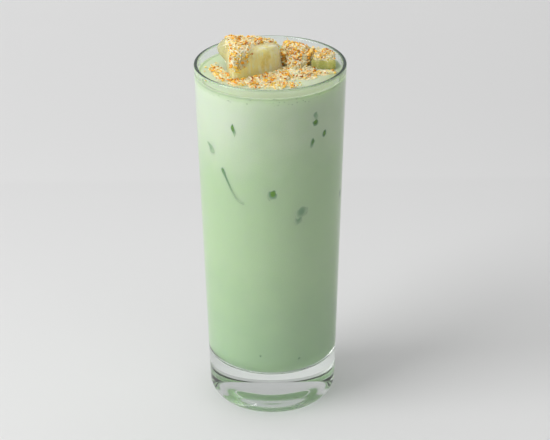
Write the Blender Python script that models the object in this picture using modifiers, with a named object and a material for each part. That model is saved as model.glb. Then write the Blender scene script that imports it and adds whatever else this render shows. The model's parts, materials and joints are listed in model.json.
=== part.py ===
"""Buko pandan drink: green coconut drink in a tall tumbler, with ice and toasted coconut on top.

Lengths are in metres, +Z is up, and the origin is the middle of the underside of the glass. Each piece
is one object and one closed body: the tumbler, the drink, and three blocks of ice that stand out of it.
The toasted coconut is fused to the ice or the drink that it lies on.
"""

import math
import random

import bmesh
import bpy
from mathutils import Euler, Matrix, Vector, noise
from mathutils.bvhtree import BVHTree

MM = 0.001
GAP = 0.3 * MM  # kept between pieces that touch
UP = Vector((0.0, 0.0, 1.0))
RAY_STEP = 0.001 * MM  # past each crossing of a ray

# Tumbler: straight tapered side, thin wall, thick base with a rounded heel
GLASS_HEIGHT = 161.4 * MM
RIM_RADIUS = 33.0 * MM
BASE_RADIUS = 28.5 * MM  # where the side meets the heel
WALL = 1.65 * MM
HEEL_RADIUS = 8.6 * MM
FLOOR_HEIGHT = 20.5 * MM  # inside, at the middle
FLOOR_CORNER = 9.0 * MM  # inside, between the floor and the wall
PUNT_RADIUS = 17.2 * MM  # of the hollow in the underside, where it starts
PUNT_DEPTH = 6.2 * MM
PUNT_POWER = 6.0  # how flat its top is: 2 would be a bowl
PUNT_STEPS = 4
TURN_STEPS = 48
ARC_STEPS = 6
HEEL_STEPS = 8
MERGE_DISTANCE = 0.01 * MM

# Drink
FREE_DEPTH = 4.5 * MM  # from the rim down to the drink
LEVEL = GLASS_HEIGHT - FREE_DEPTH
MENISCUS_HEIGHT = 0.5 * MM
MENISCUS_WIDTH = 1.6 * MM

# Ice: the corners of each block's cage, front left, front right, back right and back left, as
# (x, y, height above the drink), for the top and then for the bottom
ICE_CAGES = {
    "ice_left": (
        ((-16.4, -12.4, 12.6), (5.2, 3.2, 12.8), (1.8, 17.0, 8.6), (-20.4, 13.6, 14.0)),
        ((-16.8, -13.2, -13.0), (8.0, 3.0, -13.5), (3.4, 19.0, -14.0), (-19.6, 12.6, -12.5)),
    ),
    "ice_back": (
        ((7.4, 6.0, 6.2), (15.4, 6.4, 5.8), (17.6, 15.4, 6.6), (5.4, 23.4, 7.0)),
        ((8.8, -8.0, -7.0), (15.6, -7.5, -7.0), (16.8, 17.0, -11.0), (5.2, 23.0, -12.0)),
    ),
    "ice_right": (
        ((16.8, 4.0, 4.6), (29.0, 1.6, 3.8), (28.8, 10.4, 4.6), (19.6, 17.6, 5.6)),
        ((16.8, 2.0, -11.0), (27.6, 0.2, -11.0), (27.6, 10.4, -12.0), (19.6, 17.6, -11.0)),
    ),
}
CORNER_BULGE = Vector((-4.6, -1.0, 0.0)) * MM  # the left block's sharpest corner, half way up
BULGE_MIDDLE = Vector((-20.0, 9.5, 8.0)) * MM  # z is above the drink
BULGE_REACH = 8.0 * MM
ICE_EDGE_RADIUS = {"ice_left": 2.4 * MM, "ice_back": 1.5 * MM, "ice_right": 1.3 * MM}
ICE_UNEVEN = 0.4 * MM
ICE_UNEVEN_SPAN = 7.0 * MM
ICE_DETAIL = {"ice_left": 2, "ice_back": 1, "ice_right": 1}  # subdivisions of the cage
CAGE_SIGNS = ((-1, -1), (1, -1), (1, 1), (-1, 1))  # of x and y, in the order of a cage's corners

# Toasted coconut: a bumpy layer, and four-sided chips that are partly sunk in it
LAYER_DEPTH = 0.9 * MM
LAYER_SPAN = 1.7 * MM
CHIP_SIDES = 4
CHIP_LENGTH = (1.6 * MM, 3.8 * MM)
CHIP_RADIUS = (0.42 * MM, 0.75 * MM)
CHIP_TAPER = (0.45, 0.95)
CHIP_JITTER = (0.85, 1.1)  # how far each corner of a chip is from its middle, as a share
CHIP_LEAN = math.radians(28)  # the most that a chip rises out of the surface
CHIP_RISE = (-0.1 * MM, 0.25 * MM)  # of a chip's middle above the surface
CHIP_CLEAR = GAP + 0.15 * MM
CHIP_TRIES = 4000
CHIPS = {"ice_left": 45, "ice_back": 24, "ice_right": 17, "drink": 66}
CHIP_SEEDS = {"ice_left": 11, "ice_back": 24, "ice_right": 37, "drink": 51}
SPILL_CENTRE = Vector((-14.6, -10.0, 0.0)) * MM  # where the coconut runs over the left block's corner
SPILL_RADIUS = 8.0 * MM
SPILL_LOWEST = 4.0 * MM  # above the drink

# How coconut thins out: the upward part of a surface's normal, or the height above the drink, at
# which it starts and at which it covers all
TOP_FACING = (0.4, 0.7)
SPILL_FACING = (-0.3, 0.0)
BACK_FACING = (-0.2, 0.1)
LEFT_BARE = (-19.4 * MM, -17.8 * MM)  # along X, where the left block's bare edge ends
FRONT_BARE = Vector((2.5, -4.5, 0.0)) * MM  # the middle of the bare part at the left block's front edge
FRONT_BARE_RADIUS = (10.0 * MM, 11.0 * MM)  # where it ends
BACK_HEIGHT = (1.6 * MM, 2.8 * MM)
SPILL_SOFT_EDGE = 0.7  # of its radius
SPILL_FULL_HEIGHT = 1.5  # times its lowest height

# Patches of coconut on the drink: middle x and y, half length and half width, turn in degrees
DRINK_PATCHES = (
    (-4.5, -13.5, 14.5, 4.8, -6.0),
    (5.5, -6.0, 8.0, 5.0, 30.0),
    (-22.0, -1.6, 8.6, 2.8, 104.0),
    (13.6, -3.4, 7.6, 5.6, 12.0),
    (23.6, -2.0, 5.2, 2.1, 20.0),
    (-2.5, -6.2, 11.0, 3.6, 32.0),
    (12.2, 2.4, 7.0, 5.6, 0.0),
)
PATCH_HEIGHT = 1.2 * MM
PATCH_BUMP = (0.6, 0.8)  # share of the height that is even, and that is bumpy
PATCH_SUNK = 0.3 * MM
PATCH_CUTS = 3  # along each edge of the cube that becomes a mound
PATCH_SHOWS = 0.1 * MM  # a patch is what lies this far above the drink
PATCH_COVERED = 0.05 * MM  # what lies this deep in another patch holds no chips

SHARP_ANGLE = math.radians(35)


def collection(name):
    """A new collection in the scene."""
    made = bpy.data.collections.new(name)
    bpy.context.scene.collection.children.link(made)
    return made


def material(name, colour, roughness, transmission=0.0, ior=1.45):
    """A plain Principled material."""
    made = bpy.data.materials.new(name)
    made.use_nodes = True
    made.diffuse_color = (*colour, 1.0)
    shader = made.node_tree.nodes["Principled BSDF"]
    shader.inputs["Base Color"].default_value = (*colour, 1.0)
    shader.inputs["Roughness"].default_value = roughness
    shader.inputs["Metallic"].default_value = 0.0
    shader.inputs["Transmission Weight"].default_value = transmission
    shader.inputs["IOR"].default_value = ior
    return made


def glass_material():
    """Clear soda-lime glass."""
    return material("clear_glass", (0.95, 0.98, 0.96), 0.02, transmission=1.0, ior=1.5)


def drink_material():
    """Pale milky green."""
    return material("pandan_green", (0.48, 0.66, 0.40), 0.35)


def ice_material(name):
    """Cloudy ice, tinted by the drink."""
    return material(name, (0.62, 0.64, 0.38), 0.25)


def arc(centre, radius, start_deg, end_deg, steps):
    """Points (r, z) on an arc, both ends included."""
    angles = [math.radians(start_deg + (end_deg - start_deg) * i / steps) for i in range(steps + 1)]
    return [(centre[0] + radius * math.cos(a), centre[1] + radius * math.sin(a)) for a in angles]


def ramp(value, low, high):
    """0 below low, 1 above high, and straight between them."""
    return min(max((value - low) / (high - low), 0.0), 1.0)


def outer_radius(z):
    """The tumbler's outer radius at a height on its straight side."""
    share = (z - HEEL_RADIUS) / (GLASS_HEIGHT - HEEL_RADIUS)
    return BASE_RADIUS + (RIM_RADIUS - BASE_RADIUS) * share


def inner_radius(z):
    """The tumbler's inner radius at a height on its straight side."""
    return outer_radius(z) - WALL


def drink_height(radius):
    """The height of the bare drink's surface, which climbs a little at the wall."""
    edge = inner_radius(LEVEL) - GAP
    return LEVEL + MENISCUS_HEIGHT * ramp(radius, edge - MENISCUS_WIDTH, edge)


def floor_arc(radius_change):
    """The rounded corner between the inner floor and the wall, from the floor outwards and up."""
    corner = FLOOR_CORNER + radius_change
    top = FLOOR_HEIGHT + FLOOR_CORNER
    middle = (inner_radius(top) - FLOOR_CORNER, top)
    return arc(middle, corner, -90, 0, ARC_STEPS)


def punt_curve():
    """The flat-topped hollow in the underside, from its edge up to the axis."""
    areas = [1 - i / PUNT_STEPS for i in range(PUNT_STEPS + 1)]
    return [
        (PUNT_RADIUS * math.sqrt(area), PUNT_DEPTH * (1 - area ** (PUNT_POWER / 2))) for area in areas
    ]


def glass_profile():
    """The tumbler's section: up the inside, over the rim and down the outside."""
    lip = WALL / 2
    rim_middle = (RIM_RADIUS - lip, GLASS_HEIGHT - lip)
    inside = [(0.0, FLOOR_HEIGHT), *floor_arc(0.0)]
    rim = arc(rim_middle, lip, 180, 0, ARC_STEPS)
    heel = arc((BASE_RADIUS - HEEL_RADIUS, HEEL_RADIUS), HEEL_RADIUS, 0, -90, HEEL_STEPS)
    return [*inside, *rim, *heel, *punt_curve()]


def drink_profile():
    """The drink's section: out over the level, up the meniscus and down the wall to the floor."""
    edge = inner_radius(LEVEL) - GAP
    top = [(0.0, LEVEL), (edge - MENISCUS_WIDTH, LEVEL), (edge, LEVEL + MENISCUS_HEIGHT)]
    bottom = list(reversed(floor_arc(-GAP)))
    return [*top, *bottom, (0.0, FLOOR_HEIGHT + GAP)]


def turned(name, profile, home):
    """A solid of revolution about Z from (r, z) points that run down its outer side."""
    mesh = bpy.data.meshes.new(name)
    points = [(r, 0.0, z) for r, z in profile]
    mesh.from_pydata(points, [(i, i + 1) for i in range(len(points) - 1)], [])
    obj = bpy.data.objects.new(name, mesh)
    home.objects.link(obj)
    screw = obj.modifiers.new("turn", "SCREW")
    screw.steps = TURN_STEPS
    screw.render_steps = TURN_STEPS
    screw.use_merge_vertices = True
    screw.merge_threshold = MERGE_DISTANCE
    return obj


def applied(obj):
    """Replaces an object's mesh with its evaluated mesh and drops its modifiers."""
    bpy.context.view_layer.update()
    seen = obj.evaluated_get(bpy.context.evaluated_depsgraph_get())
    mesh = bpy.data.meshes.new_from_object(seen)
    old = obj.data
    obj.modifiers.clear()
    obj.data = mesh
    mesh.name = obj.name
    bpy.data.meshes.remove(old)
    return obj


def split_into_triangles(obj):
    """Makes every face of an object's mesh a triangle."""
    shape = bmesh.new()
    shape.from_mesh(obj.data)
    bmesh.ops.triangulate(shape, faces=shape.faces)
    shape.to_mesh(obj.data)
    shape.free()


def add_boolean(obj, operation, tools):
    """Cuts an object by, or joins it with, everything in a collection, and applies the result."""
    for piece in (obj, *tools.objects):
        split_into_triangles(piece)
    boolean = obj.modifiers.new(operation.lower(), "BOOLEAN")
    boolean.operation = operation
    boolean.operand_type = "COLLECTION"
    boolean.collection = tools
    boolean.solver = "MANIFOLD"
    applied(obj)
    for tool in list(tools.objects):
        bpy.data.objects.remove(tool)
    bpy.data.collections.remove(tools)
    keep_one_body(obj)


def keep_one_body(obj):
    """Fills the hollows that joining has sealed and drops loose scraps, leaving the largest shell."""
    shape = bmesh.new()
    shape.from_mesh(obj.data)
    unseen, shells = set(shape.faces), []
    while unseen:
        shell, edge_of_search = set(), [unseen.pop()]
        while edge_of_search:
            face = edge_of_search.pop()
            shell.add(face)
            near = {other for edge in face.edges for other in edge.link_faces} & unseen
            unseen -= near
            edge_of_search.extend(near)
        shells.append(shell)
    largest = max(shells, key=lambda shell: sum(face.calc_area() for face in shell))
    extra = [face for shell in shells if shell is not largest for face in shell]
    bmesh.ops.delete(shape, geom=extra, context="FACES")
    shape.to_mesh(obj.data)
    shape.free()


def ice_core(name, detail, home):
    """A block of half-melted ice: a cage with rounded edges and slightly uneven faces."""
    corners = {}
    for side, height in zip(ICE_CAGES[name], (1, -1), strict=True):
        for (x, y, above), (sx, sy) in zip(side, CAGE_SIGNS, strict=True):
            corners[(sx, sy, height)] = Vector((x * MM, y * MM, LEVEL + above * MM))
    cage = bmesh.new()
    bmesh.ops.create_cube(cage, size=2.0)
    for vert in cage.verts:
        vert.co = corners[tuple(round(value) for value in vert.co)]
    bmesh.ops.bevel(
        cage, geom=cage.edges[:], offset=ICE_EDGE_RADIUS[name], segments=1, profile=0.5, affect="EDGES"
    )
    mesh = bpy.data.meshes.new(name)
    cage.to_mesh(mesh)
    cage.free()
    obj = bpy.data.objects.new(name, mesh)
    home.objects.link(obj)
    smooth = obj.modifiers.new("melt", "SUBSURF")
    smooth.levels = detail
    smooth.render_levels = detail
    applied(obj)
    swell(obj, lambda place, normal: ICE_UNEVEN * noise.noise(place / ICE_UNEVEN_SPAN))
    if name == "ice_left":
        push_corner(obj)
    return obj


def push_corner(obj):
    """Draws the left block's corner out to a blunt point."""
    middle = BULGE_MIDDLE + Vector((0.0, 0.0, LEVEL))
    for vert in obj.data.vertices:
        near = 1.0 - ramp((vert.co - middle).length, 0.0, BULGE_REACH)
        vert.co = vert.co + CORNER_BULGE * (near * near * (3.0 - 2.0 * near))


def swell(obj, amount):
    """Moves each point of a mesh outwards by amount(place, normal)."""
    moved = [vert.co + vert.normal * amount(vert.co, vert.normal) for vert in obj.data.vertices]
    for vert, place in zip(obj.data.vertices, moved, strict=True):
        vert.co = place


def add_layer(obj):
    """Raises a bumpy layer of coconut on the part of a block that holds it."""

    def depth(place, normal):
        bump = 0.5 + 0.5 * noise.noise(place / LAYER_SPAN)
        return LAYER_DEPTH * bump * coconut_share(obj.name, place, normal)

    swell(obj, depth)


def pocket(block, home):
    """The room that a block takes in the drink, as a cutter."""
    cutter = bpy.data.objects.new(f"{block.name}_pocket", block.data.copy())
    home.objects.link(cutter)
    shape = bmesh.new()
    shape.from_mesh(cutter.data)
    moved = [vert.co + vert.normal * GAP * vert.calc_shell_factor() for vert in shape.verts]
    for vert, place in zip(shape.verts, moved, strict=True):
        vert.co = place
    shape.to_mesh(cutter.data)
    shape.free()
    cutter.hide_render = True
    cutter.display_type = "WIRE"


def patch(x, y, half_length, half_width, turn, home):
    """A low bumpy mound of coconut that floats on the drink."""
    mound = bmesh.new()
    bmesh.ops.create_cube(mound, size=2.0)
    bmesh.ops.subdivide_edges(mound, edges=mound.edges[:], cuts=PATCH_CUTS, use_grid_fill=True)
    for vert in mound.verts:
        vert.co.normalize()
    bmesh.ops.scale(mound, verts=mound.verts, vec=Vector((half_length, half_width, 1.0)) * MM)
    for vert in mound.verts:
        bump = PATCH_BUMP[0] + PATCH_BUMP[1] * noise.noise(vert.co / LAYER_SPAN + Vector((x, y, 0.0)))
        vert.co.z *= PATCH_HEIGHT / MM * bump
    place = Matrix.Translation(Vector((x * MM, y * MM, LEVEL - PATCH_SUNK)))
    bmesh.ops.transform(
        mound, matrix=place @ Matrix.Rotation(math.radians(turn), 4, "Z"), verts=mound.verts
    )
    mesh = bpy.data.meshes.new("patch")
    mound.to_mesh(mesh)
    mound.free()
    obj = bpy.data.objects.new(mesh.name, mesh)
    home.objects.link(obj)
    return obj


def surface_of(obj):
    """A search tree over an object's mesh."""
    shape = bmesh.new()
    shape.from_mesh(obj.data)
    tree = BVHTree.FromBMesh(shape)
    shape.free()
    return tree


def triangles_of(mesh):
    """A mesh's triangles as corners (x, y, z), each from its lowest corner and round the same way."""
    mesh.calc_loop_triangles()
    found = []
    for triangle in mesh.loop_triangles:
        corners = [tuple(mesh.vertices[i].co) for i in triangle.vertices]
        first = corners.index(min(corners))
        found.append((*corners[first:], *corners[:first]))
    return found


def chip_mesh(rng):
    """One irregular four-sided chip along X, centred on its origin."""
    length, radius = rng.uniform(*CHIP_LENGTH), rng.uniform(*CHIP_RADIUS)
    taper = rng.uniform(*CHIP_TAPER)
    chip = bmesh.new()
    bmesh.ops.create_cone(
        chip, cap_ends=True, segments=CHIP_SIDES, radius1=radius, radius2=radius * taper, depth=length
    )
    bmesh.ops.rotate(chip, verts=chip.verts, matrix=Matrix.Rotation(math.pi / 2, 3, "Y"))
    for vert in chip.verts:
        vert.co *= rng.uniform(*CHIP_JITTER)
    return chip


def chip_pose(rng, place, normal):
    """Lays a chip on the surface at a place, turned at random and leaning a little out of it."""
    upright = normal.to_track_quat("Z", "X").to_matrix().to_4x4()
    turn = Euler((rng.uniform(0, math.tau), rng.uniform(-CHIP_LEAN, CHIP_LEAN), 0.0)).to_matrix()
    spin = Matrix.Rotation(rng.uniform(0, math.tau), 4, "Z")
    rise = normal * rng.uniform(*CHIP_RISE)
    return Matrix.Translation(place + rise) @ upright @ spin @ turn.to_4x4()


def is_inside(tree, point):
    """Whether a point lies in a closed surface: a ray up from it then leaves an odd number of times."""
    crossings, start = 0, point
    while (hit := tree.ray_cast(start, UP)[0]) is not None:
        crossings += 1
        start = hit + UP * RAY_STEP
    return crossings % 2 == 1


def depth_outside(tree, point):
    """How far a point is outside a closed surface, negative inside it."""
    distance = tree.find_nearest(point)[3]
    return -distance if is_inside(tree, point) else distance


class Coconut:
    """Chips fused to one piece, clear of the glass, of the other pieces and of their chips.

    Each place is drawn from shapes that no Boolean has touched, so the chips lie the same in every build.
    """

    def __init__(self, name, trees, taken, home):
        self.name = name
        self.rng = random.Random(CHIP_SEEDS[name])
        self.others = [tree for owner in trees if owner != name for tree in trees[owner]]
        self.taken = taken
        self.home = home

    def is_clear(self, points, middle, reach):
        """Whether a chip keeps its distance from the glass, the other pieces and their chips."""
        for point in points:
            radius = point.xy.length
            if radius > inner_radius(min(point.z, GLASS_HEIGHT)) - CHIP_CLEAR:
                return False
            if self.name != "drink" and point.z < drink_height(radius) + CHIP_CLEAR:
                return False
            if any(depth_outside(tree, point) < CHIP_CLEAR for tree in self.others):
                return False
        return all(
            owner == self.name or (middle - centre).length > reach + other_reach + GAP
            for owner, centre, other_reach in self.taken
        )

    def add(self, place, normal):
        """Adds one chip at a place if it is clear there."""
        chip = chip_mesh(self.rng)
        bmesh.ops.transform(chip, matrix=chip_pose(self.rng, place, normal), verts=chip.verts)
        points = [vert.co.copy() for vert in chip.verts]
        middle = sum(points, Vector()) / len(points)
        reach = max((point - middle).length for point in points)
        for edge in chip.edges:
            start, end = (vert.co for vert in edge.verts)
            points += [start.lerp(end, share) for share in (0.25, 0.5, 0.75)]
        clear = self.is_clear(points, middle, reach)
        if clear:
            mesh = bpy.data.meshes.new(f"{self.name}_chip")
            chip.to_mesh(mesh)
            self.home.objects.link(bpy.data.objects.new(mesh.name, mesh))
            self.taken.append((self.name, middle, reach))
        chip.free()
        return clear

    def strew(self, surfaces, share):
        """Spreads chips evenly over the part of some surfaces where share(place, normal) is high."""
        triangles = sorted(triangle for obj in surfaces for triangle in triangles_of(obj.data))
        weights = []
        for corners in triangles:
            a, b, c = (Vector(corner) for corner in corners)
            across = (b - a).cross(c - a)
            weights.append(across.length / 2 * share((a + b + c) / 3, across.normalized()))
        placed, tries = 0, 0
        while placed < CHIPS[self.name] and tries < CHIP_TRIES:
            tries += 1
            a, b, c = (Vector(corner) for corner in self.rng.choices(triangles, weights)[0])
            u, v = sorted((self.rng.random(), self.rng.random()))
            normal = (b - a).cross(c - a).normalized()
            placed += self.add(a * u + b * (v - u) + c * (1 - v), normal)


def coconut_share(name, place, normal):
    """How much of a block's surface coconut hides: its top, the spill, or all of the back block."""
    above = place.z - LEVEL
    if name == "ice_back":
        return ramp(normal.z, *BACK_FACING) * ramp(above, *BACK_HEIGHT)
    top = ramp(normal.z, *TOP_FACING)
    if name == "ice_left":
        top *= ramp(place.x, *LEFT_BARE)
        top *= ramp((place.xy - FRONT_BARE.xy).length, *FRONT_BARE_RADIUS)
        away = (place.xy - SPILL_CENTRE.xy).length
        near = 1.0 - ramp(away, SPILL_RADIUS * SPILL_SOFT_EDGE, SPILL_RADIUS)
        high = ramp(above, SPILL_LOWEST, SPILL_LOWEST * SPILL_FULL_HEIGHT)
        top = max(top, near * high * ramp(normal.z, *SPILL_FACING))
    return top


def patch_share(place, normal, patches, blocks):
    """1 where a patch's own surface shows above the drink, clear of the other patches and the ice."""
    edge = inner_radius(LEVEL) - MENISCUS_WIDTH - GAP
    shows = place.z > LEVEL + PATCH_SHOWS and place.xy.length < edge and normal.z > 0
    bare = shows and all(depth_outside(tree, place) > -PATCH_COVERED for tree in patches)
    return float(bare and all(depth_outside(tree, place) > GAP for tree in blocks))


def build():
    """Makes every piece."""
    for obj in list(bpy.data.objects):
        bpy.data.objects.remove(obj)
    home, cutters = collection("buko_pandan_drink"), collection("cutters")

    glass = turned("glass", glass_profile(), home)
    glass.data.materials.append(glass_material())

    mounds = collection("mounds")
    patches = [patch(*shape, mounds) for shape in DRINK_PATCHES]
    ice = {name: ice_core(name, ICE_DETAIL[name], home) for name in ICE_CAGES}
    for block in ice.values():
        add_layer(block)
        pocket(block, cutters)
    trees = {name: [surface_of(block)] for name, block in ice.items()}
    blocks = [tree for block_trees in trees.values() for tree in block_trees]
    trees["drink"] = [surface_of(mound) for mound in patches]

    taken = []
    for name, block in ice.items():
        chips = Coconut(name, trees, taken, collection(f"{name}_chips"))
        chips.strew([block], lambda place, normal, name=name: coconut_share(name, place, normal))
        add_boolean(block, "UNION", chips.home)
        block.data.materials.clear()
        block.data.materials.append(ice_material(f"cloudy_{name}"))

    drink = applied(turned("drink", drink_profile(), home))
    chips = Coconut("drink", trees, taken, mounds)
    chips.strew(patches, lambda place, normal: patch_share(place, normal, trees["drink"], blocks))
    add_boolean(drink, "UNION", mounds)
    add_boolean(drink, "DIFFERENCE", cutters)
    drink.data.materials.clear()
    drink.data.materials.append(drink_material())

    for obj in home.objects:
        obj.data.shade_smooth()
        obj.data.set_sharp_from_angle(angle=SHARP_ANGLE)


build()
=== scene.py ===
"""The looks of a glass of buko pandan: pale green coconut drink, ice and toasted coconut in a tumbler.

Lengths are in metres, +Z is up, and the origin is the middle of the underside of the glass. Each
sub-assembly is a class that holds its sizes, builds its meshes and dresses them in its finish.
"""

import json
import logging
import math
import random
from collections.abc import Callable, Sequence
from dataclasses import dataclass, field
from enum import Enum
from typing import Any

import bmesh
import bpy
from mathutils import Euler, Matrix, Vector, noise
from mathutils.bvhtree import BVHTree

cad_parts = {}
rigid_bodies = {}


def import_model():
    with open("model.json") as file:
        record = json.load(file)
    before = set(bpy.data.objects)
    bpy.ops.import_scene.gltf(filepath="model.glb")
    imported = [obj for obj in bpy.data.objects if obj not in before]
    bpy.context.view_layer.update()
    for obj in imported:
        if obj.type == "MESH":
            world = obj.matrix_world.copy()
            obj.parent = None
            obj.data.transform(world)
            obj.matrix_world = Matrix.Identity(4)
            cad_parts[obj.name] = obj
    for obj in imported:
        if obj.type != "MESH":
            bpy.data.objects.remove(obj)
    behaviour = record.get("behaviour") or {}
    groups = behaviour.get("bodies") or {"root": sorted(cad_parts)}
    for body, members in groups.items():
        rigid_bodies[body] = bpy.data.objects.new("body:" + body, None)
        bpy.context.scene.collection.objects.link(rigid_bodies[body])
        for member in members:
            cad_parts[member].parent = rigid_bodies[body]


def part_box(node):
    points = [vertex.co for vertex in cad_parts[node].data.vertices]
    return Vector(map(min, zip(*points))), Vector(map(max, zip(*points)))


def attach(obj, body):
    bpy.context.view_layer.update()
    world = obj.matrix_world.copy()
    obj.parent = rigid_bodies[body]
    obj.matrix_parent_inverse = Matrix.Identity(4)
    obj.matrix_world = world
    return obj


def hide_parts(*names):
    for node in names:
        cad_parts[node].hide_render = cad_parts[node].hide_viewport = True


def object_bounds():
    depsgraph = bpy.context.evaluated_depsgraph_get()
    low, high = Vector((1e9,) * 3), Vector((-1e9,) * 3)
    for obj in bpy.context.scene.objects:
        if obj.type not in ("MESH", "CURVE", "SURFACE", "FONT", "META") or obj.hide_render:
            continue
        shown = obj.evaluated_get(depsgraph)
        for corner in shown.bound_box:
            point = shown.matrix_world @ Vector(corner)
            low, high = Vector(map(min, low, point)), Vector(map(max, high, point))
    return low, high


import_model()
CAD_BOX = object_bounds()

LOG = logging.getLogger("buko_pandan")
BODY = "root"
MM = 0.001
FAR = 1000 * MM
ON_AXIS = 0.001 * MM
DOWN = Vector((0.0, 0.0, -1.0))

Profile = list[tuple[float, float]]
Colour = tuple[float, float, float, float]
Stops = tuple[tuple[float, Colour], ...]
"""Places from 0 to 1 along a ramp, and the colour at each."""
Step = tuple[float, ...]
"""Where a smooth step starts and ends, then what it goes from and to, if not 0 and 1."""
Lumps = tuple[float, float]
"""Noise: the size of its largest lumps in metres, and how many finer layers it has."""
WHITE: Colour = (1.0, 1.0, 1.0, 1.0)


# ---------------------------------------------------------------- small helpers


def paint(red: int, green: int, blue: int) -> Colour:
    """A colour as linear light with an alpha of 1, from its display values of 0 to 255.

    Args:
        red: Display value of red.
        green: Display value of green.
        blue: Display value of blue.

    Returns:
        Linear red, green and blue, and alpha.
    """

    def light(value: int) -> float:
        """One channel's share of light."""
        share = value / 255
        return share / 12.92 if share <= 0.04045 else ((share + 0.055) / 1.055) ** 2.4

    return (light(red), light(green), light(blue), 1.0)


def ramp(value: float, low: float, high: float) -> float:
    """0 below low, 1 above high, and straight between them."""
    return min(max((value - low) / (high - low), 0.0), 1.0)


def ease(value: float, low: float, high: float) -> float:
    """0 below low, 1 above high, and a smooth step between them."""
    share = ramp(value, low, high)
    return share * share * (3.0 - 2.0 * share)


def arc(centre: tuple[float, float], radius: float, start: float, end: float, steps: int) -> Profile:
    """Points on an arc in a turned profile.

    Args:
        centre: Radius and height of the arc's middle.
        radius: The arc's own radius.
        start: First angle, in degrees.
        end: Last angle, in degrees.
        steps: How many straight pieces make it.

    Returns:
        The points as (radius, height), both ends included.
    """
    angles = [math.radians(start + (end - start) * i / steps) for i in range(steps + 1)]
    return [(centre[0] + radius * math.cos(a), centre[1] + radius * math.sin(a)) for a in angles]


def link(name: str, data: bpy.types.ID) -> bpy.types.Object:
    """A new object in the scene that shows a mesh, a curve, a lamp or a camera.

    Args:
        name: The object's name.
        data: What it shows.

    Returns:
        The object.
    """
    obj = bpy.data.objects.new(name, data)
    bpy.context.scene.collection.objects.link(obj)
    return obj


def collection(name: str) -> bpy.types.Collection:
    """A new empty collection in the scene.

    Args:
        name: The collection's name.

    Returns:
        The collection.
    """
    home = bpy.data.collections.new(name)
    bpy.context.scene.collection.children.link(home)
    return home


def discard(home: bpy.types.Collection) -> None:
    """Removes a collection and the objects in it.

    Args:
        home: The collection.
    """
    for obj in list(home.objects):
        bpy.data.objects.remove(obj)
    bpy.data.collections.remove(home)


def as_mesh(shape: bmesh.types.BMesh, name: str) -> bpy.types.Mesh:
    """A mesh of a shape, which is freed.

    Args:
        shape: The shape.
        name: The mesh's name.

    Returns:
        The mesh.
    """
    mesh = bpy.data.meshes.new(name)
    shape.to_mesh(mesh)
    shape.free()
    return mesh


def join(joined: bmesh.types.BMesh, shape: bmesh.types.BMesh) -> int:
    """Adds a shape to another and frees it, and gives its number of points.

    Args:
        joined: The shape that grows.
        shape: The shape that is added.

    Returns:
        How many points were added.
    """
    scrap = as_mesh(shape, "scrap")
    count = len(scrap.vertices)
    joined.from_mesh(scrap)
    bpy.data.meshes.remove(scrap)
    return count


def ring(shape: bmesh.types.BMesh, radius: float, height: float, steps: int) -> list[bmesh.types.BMVert]:
    """New points on a level circle about Z."""
    turns = [math.tau * i / steps for i in range(steps)]
    return [shape.verts.new((radius * math.cos(a), radius * math.sin(a), height)) for a in turns]


def lathe(name: str, profile: Profile, steps: int) -> bpy.types.Object:
    """A closed solid of revolution about Z.

    Args:
        name: The object's name.
        profile: Points (radius, height) that start and end on the axis.
        steps: How many sides it has.

    Returns:
        The object, with its faces pointing outwards.
    """
    shape = bmesh.new()
    rings: list[list[bmesh.types.BMVert]] = []
    for radius, height in profile:
        rings.append(ring(shape, radius, height, steps if radius > ON_AXIS else 1))
    for inner, outer in zip(rings, rings[1:]):
        for i in range(steps):
            corners = [inner[i % len(inner)], inner[(i + 1) % len(inner)]]
            corners += [outer[(i + 1) % len(outer)], outer[i % len(outer)]]
            shape.faces.new(list(dict.fromkeys(corners)))
    bmesh.ops.recalc_face_normals(shape, faces=shape.faces)
    mesh = as_mesh(shape, name)
    mesh.shade_smooth()
    return link(name, mesh)


def move_points(obj: bpy.types.Object, moved: Callable[[Vector, Vector], Vector]) -> None:
    """Moves every point of a mesh to where moved puts it, given its place and normal.

    Args:
        obj: The object whose mesh is moved.
        moved: Gives a point's new place from its place and normal.
    """
    places = [moved(vert.co.copy(), vert.normal.copy()) for vert in obj.data.vertices]
    for vert, place in zip(obj.data.vertices, places, strict=True):
        vert.co = place
    obj.data.update()


def press_under(obj: bpy.types.Object, limit: float, soft: float = 0.5 * MM) -> None:
    """Presses what stands too high softly down, from a little below a height that nothing then reaches.

    Args:
        obj: The object whose mesh is pressed.
        limit: The height that nothing reaches.
        soft: How far below it the pressing starts.
    """

    def pressed(place: Vector, _: Vector) -> Vector:
        """The place, or a lower one.

        Args:
            place: Where a point is.

        Returns:
            Where it goes.
        """
        over = place.z - limit + soft
        if over > 0:
            place.z = limit - soft * math.exp(-over / soft)
        return place

    move_points(obj, pressed)


def keep(mesh: bpy.types.Mesh, name: str, values: Sequence[float]) -> None:
    """Keeps a number for every point of a mesh, as an attribute."""
    mesh.attributes.new(name, "FLOAT", "POINT").data.foreach_set("value", values)


def kept(mesh: bpy.types.Mesh, name: str) -> list[float]:
    """The numbers that an attribute of a mesh holds.

    Args:
        mesh: The mesh.
        name: The attribute's name.

    Returns:
        One number for each point.
    """
    values = [0.0] * len(mesh.vertices)
    mesh.attributes[name].data.foreach_get("value", values)
    return values


def store(obj: bpy.types.Object, name: str, amount: Callable[[Vector, Vector], float]) -> None:
    """Keeps a number for every point of an object's mesh, given the point's place and normal."""
    keep(obj.data, name, [amount(vert.co, vert.normal) for vert in obj.data.vertices])


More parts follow.
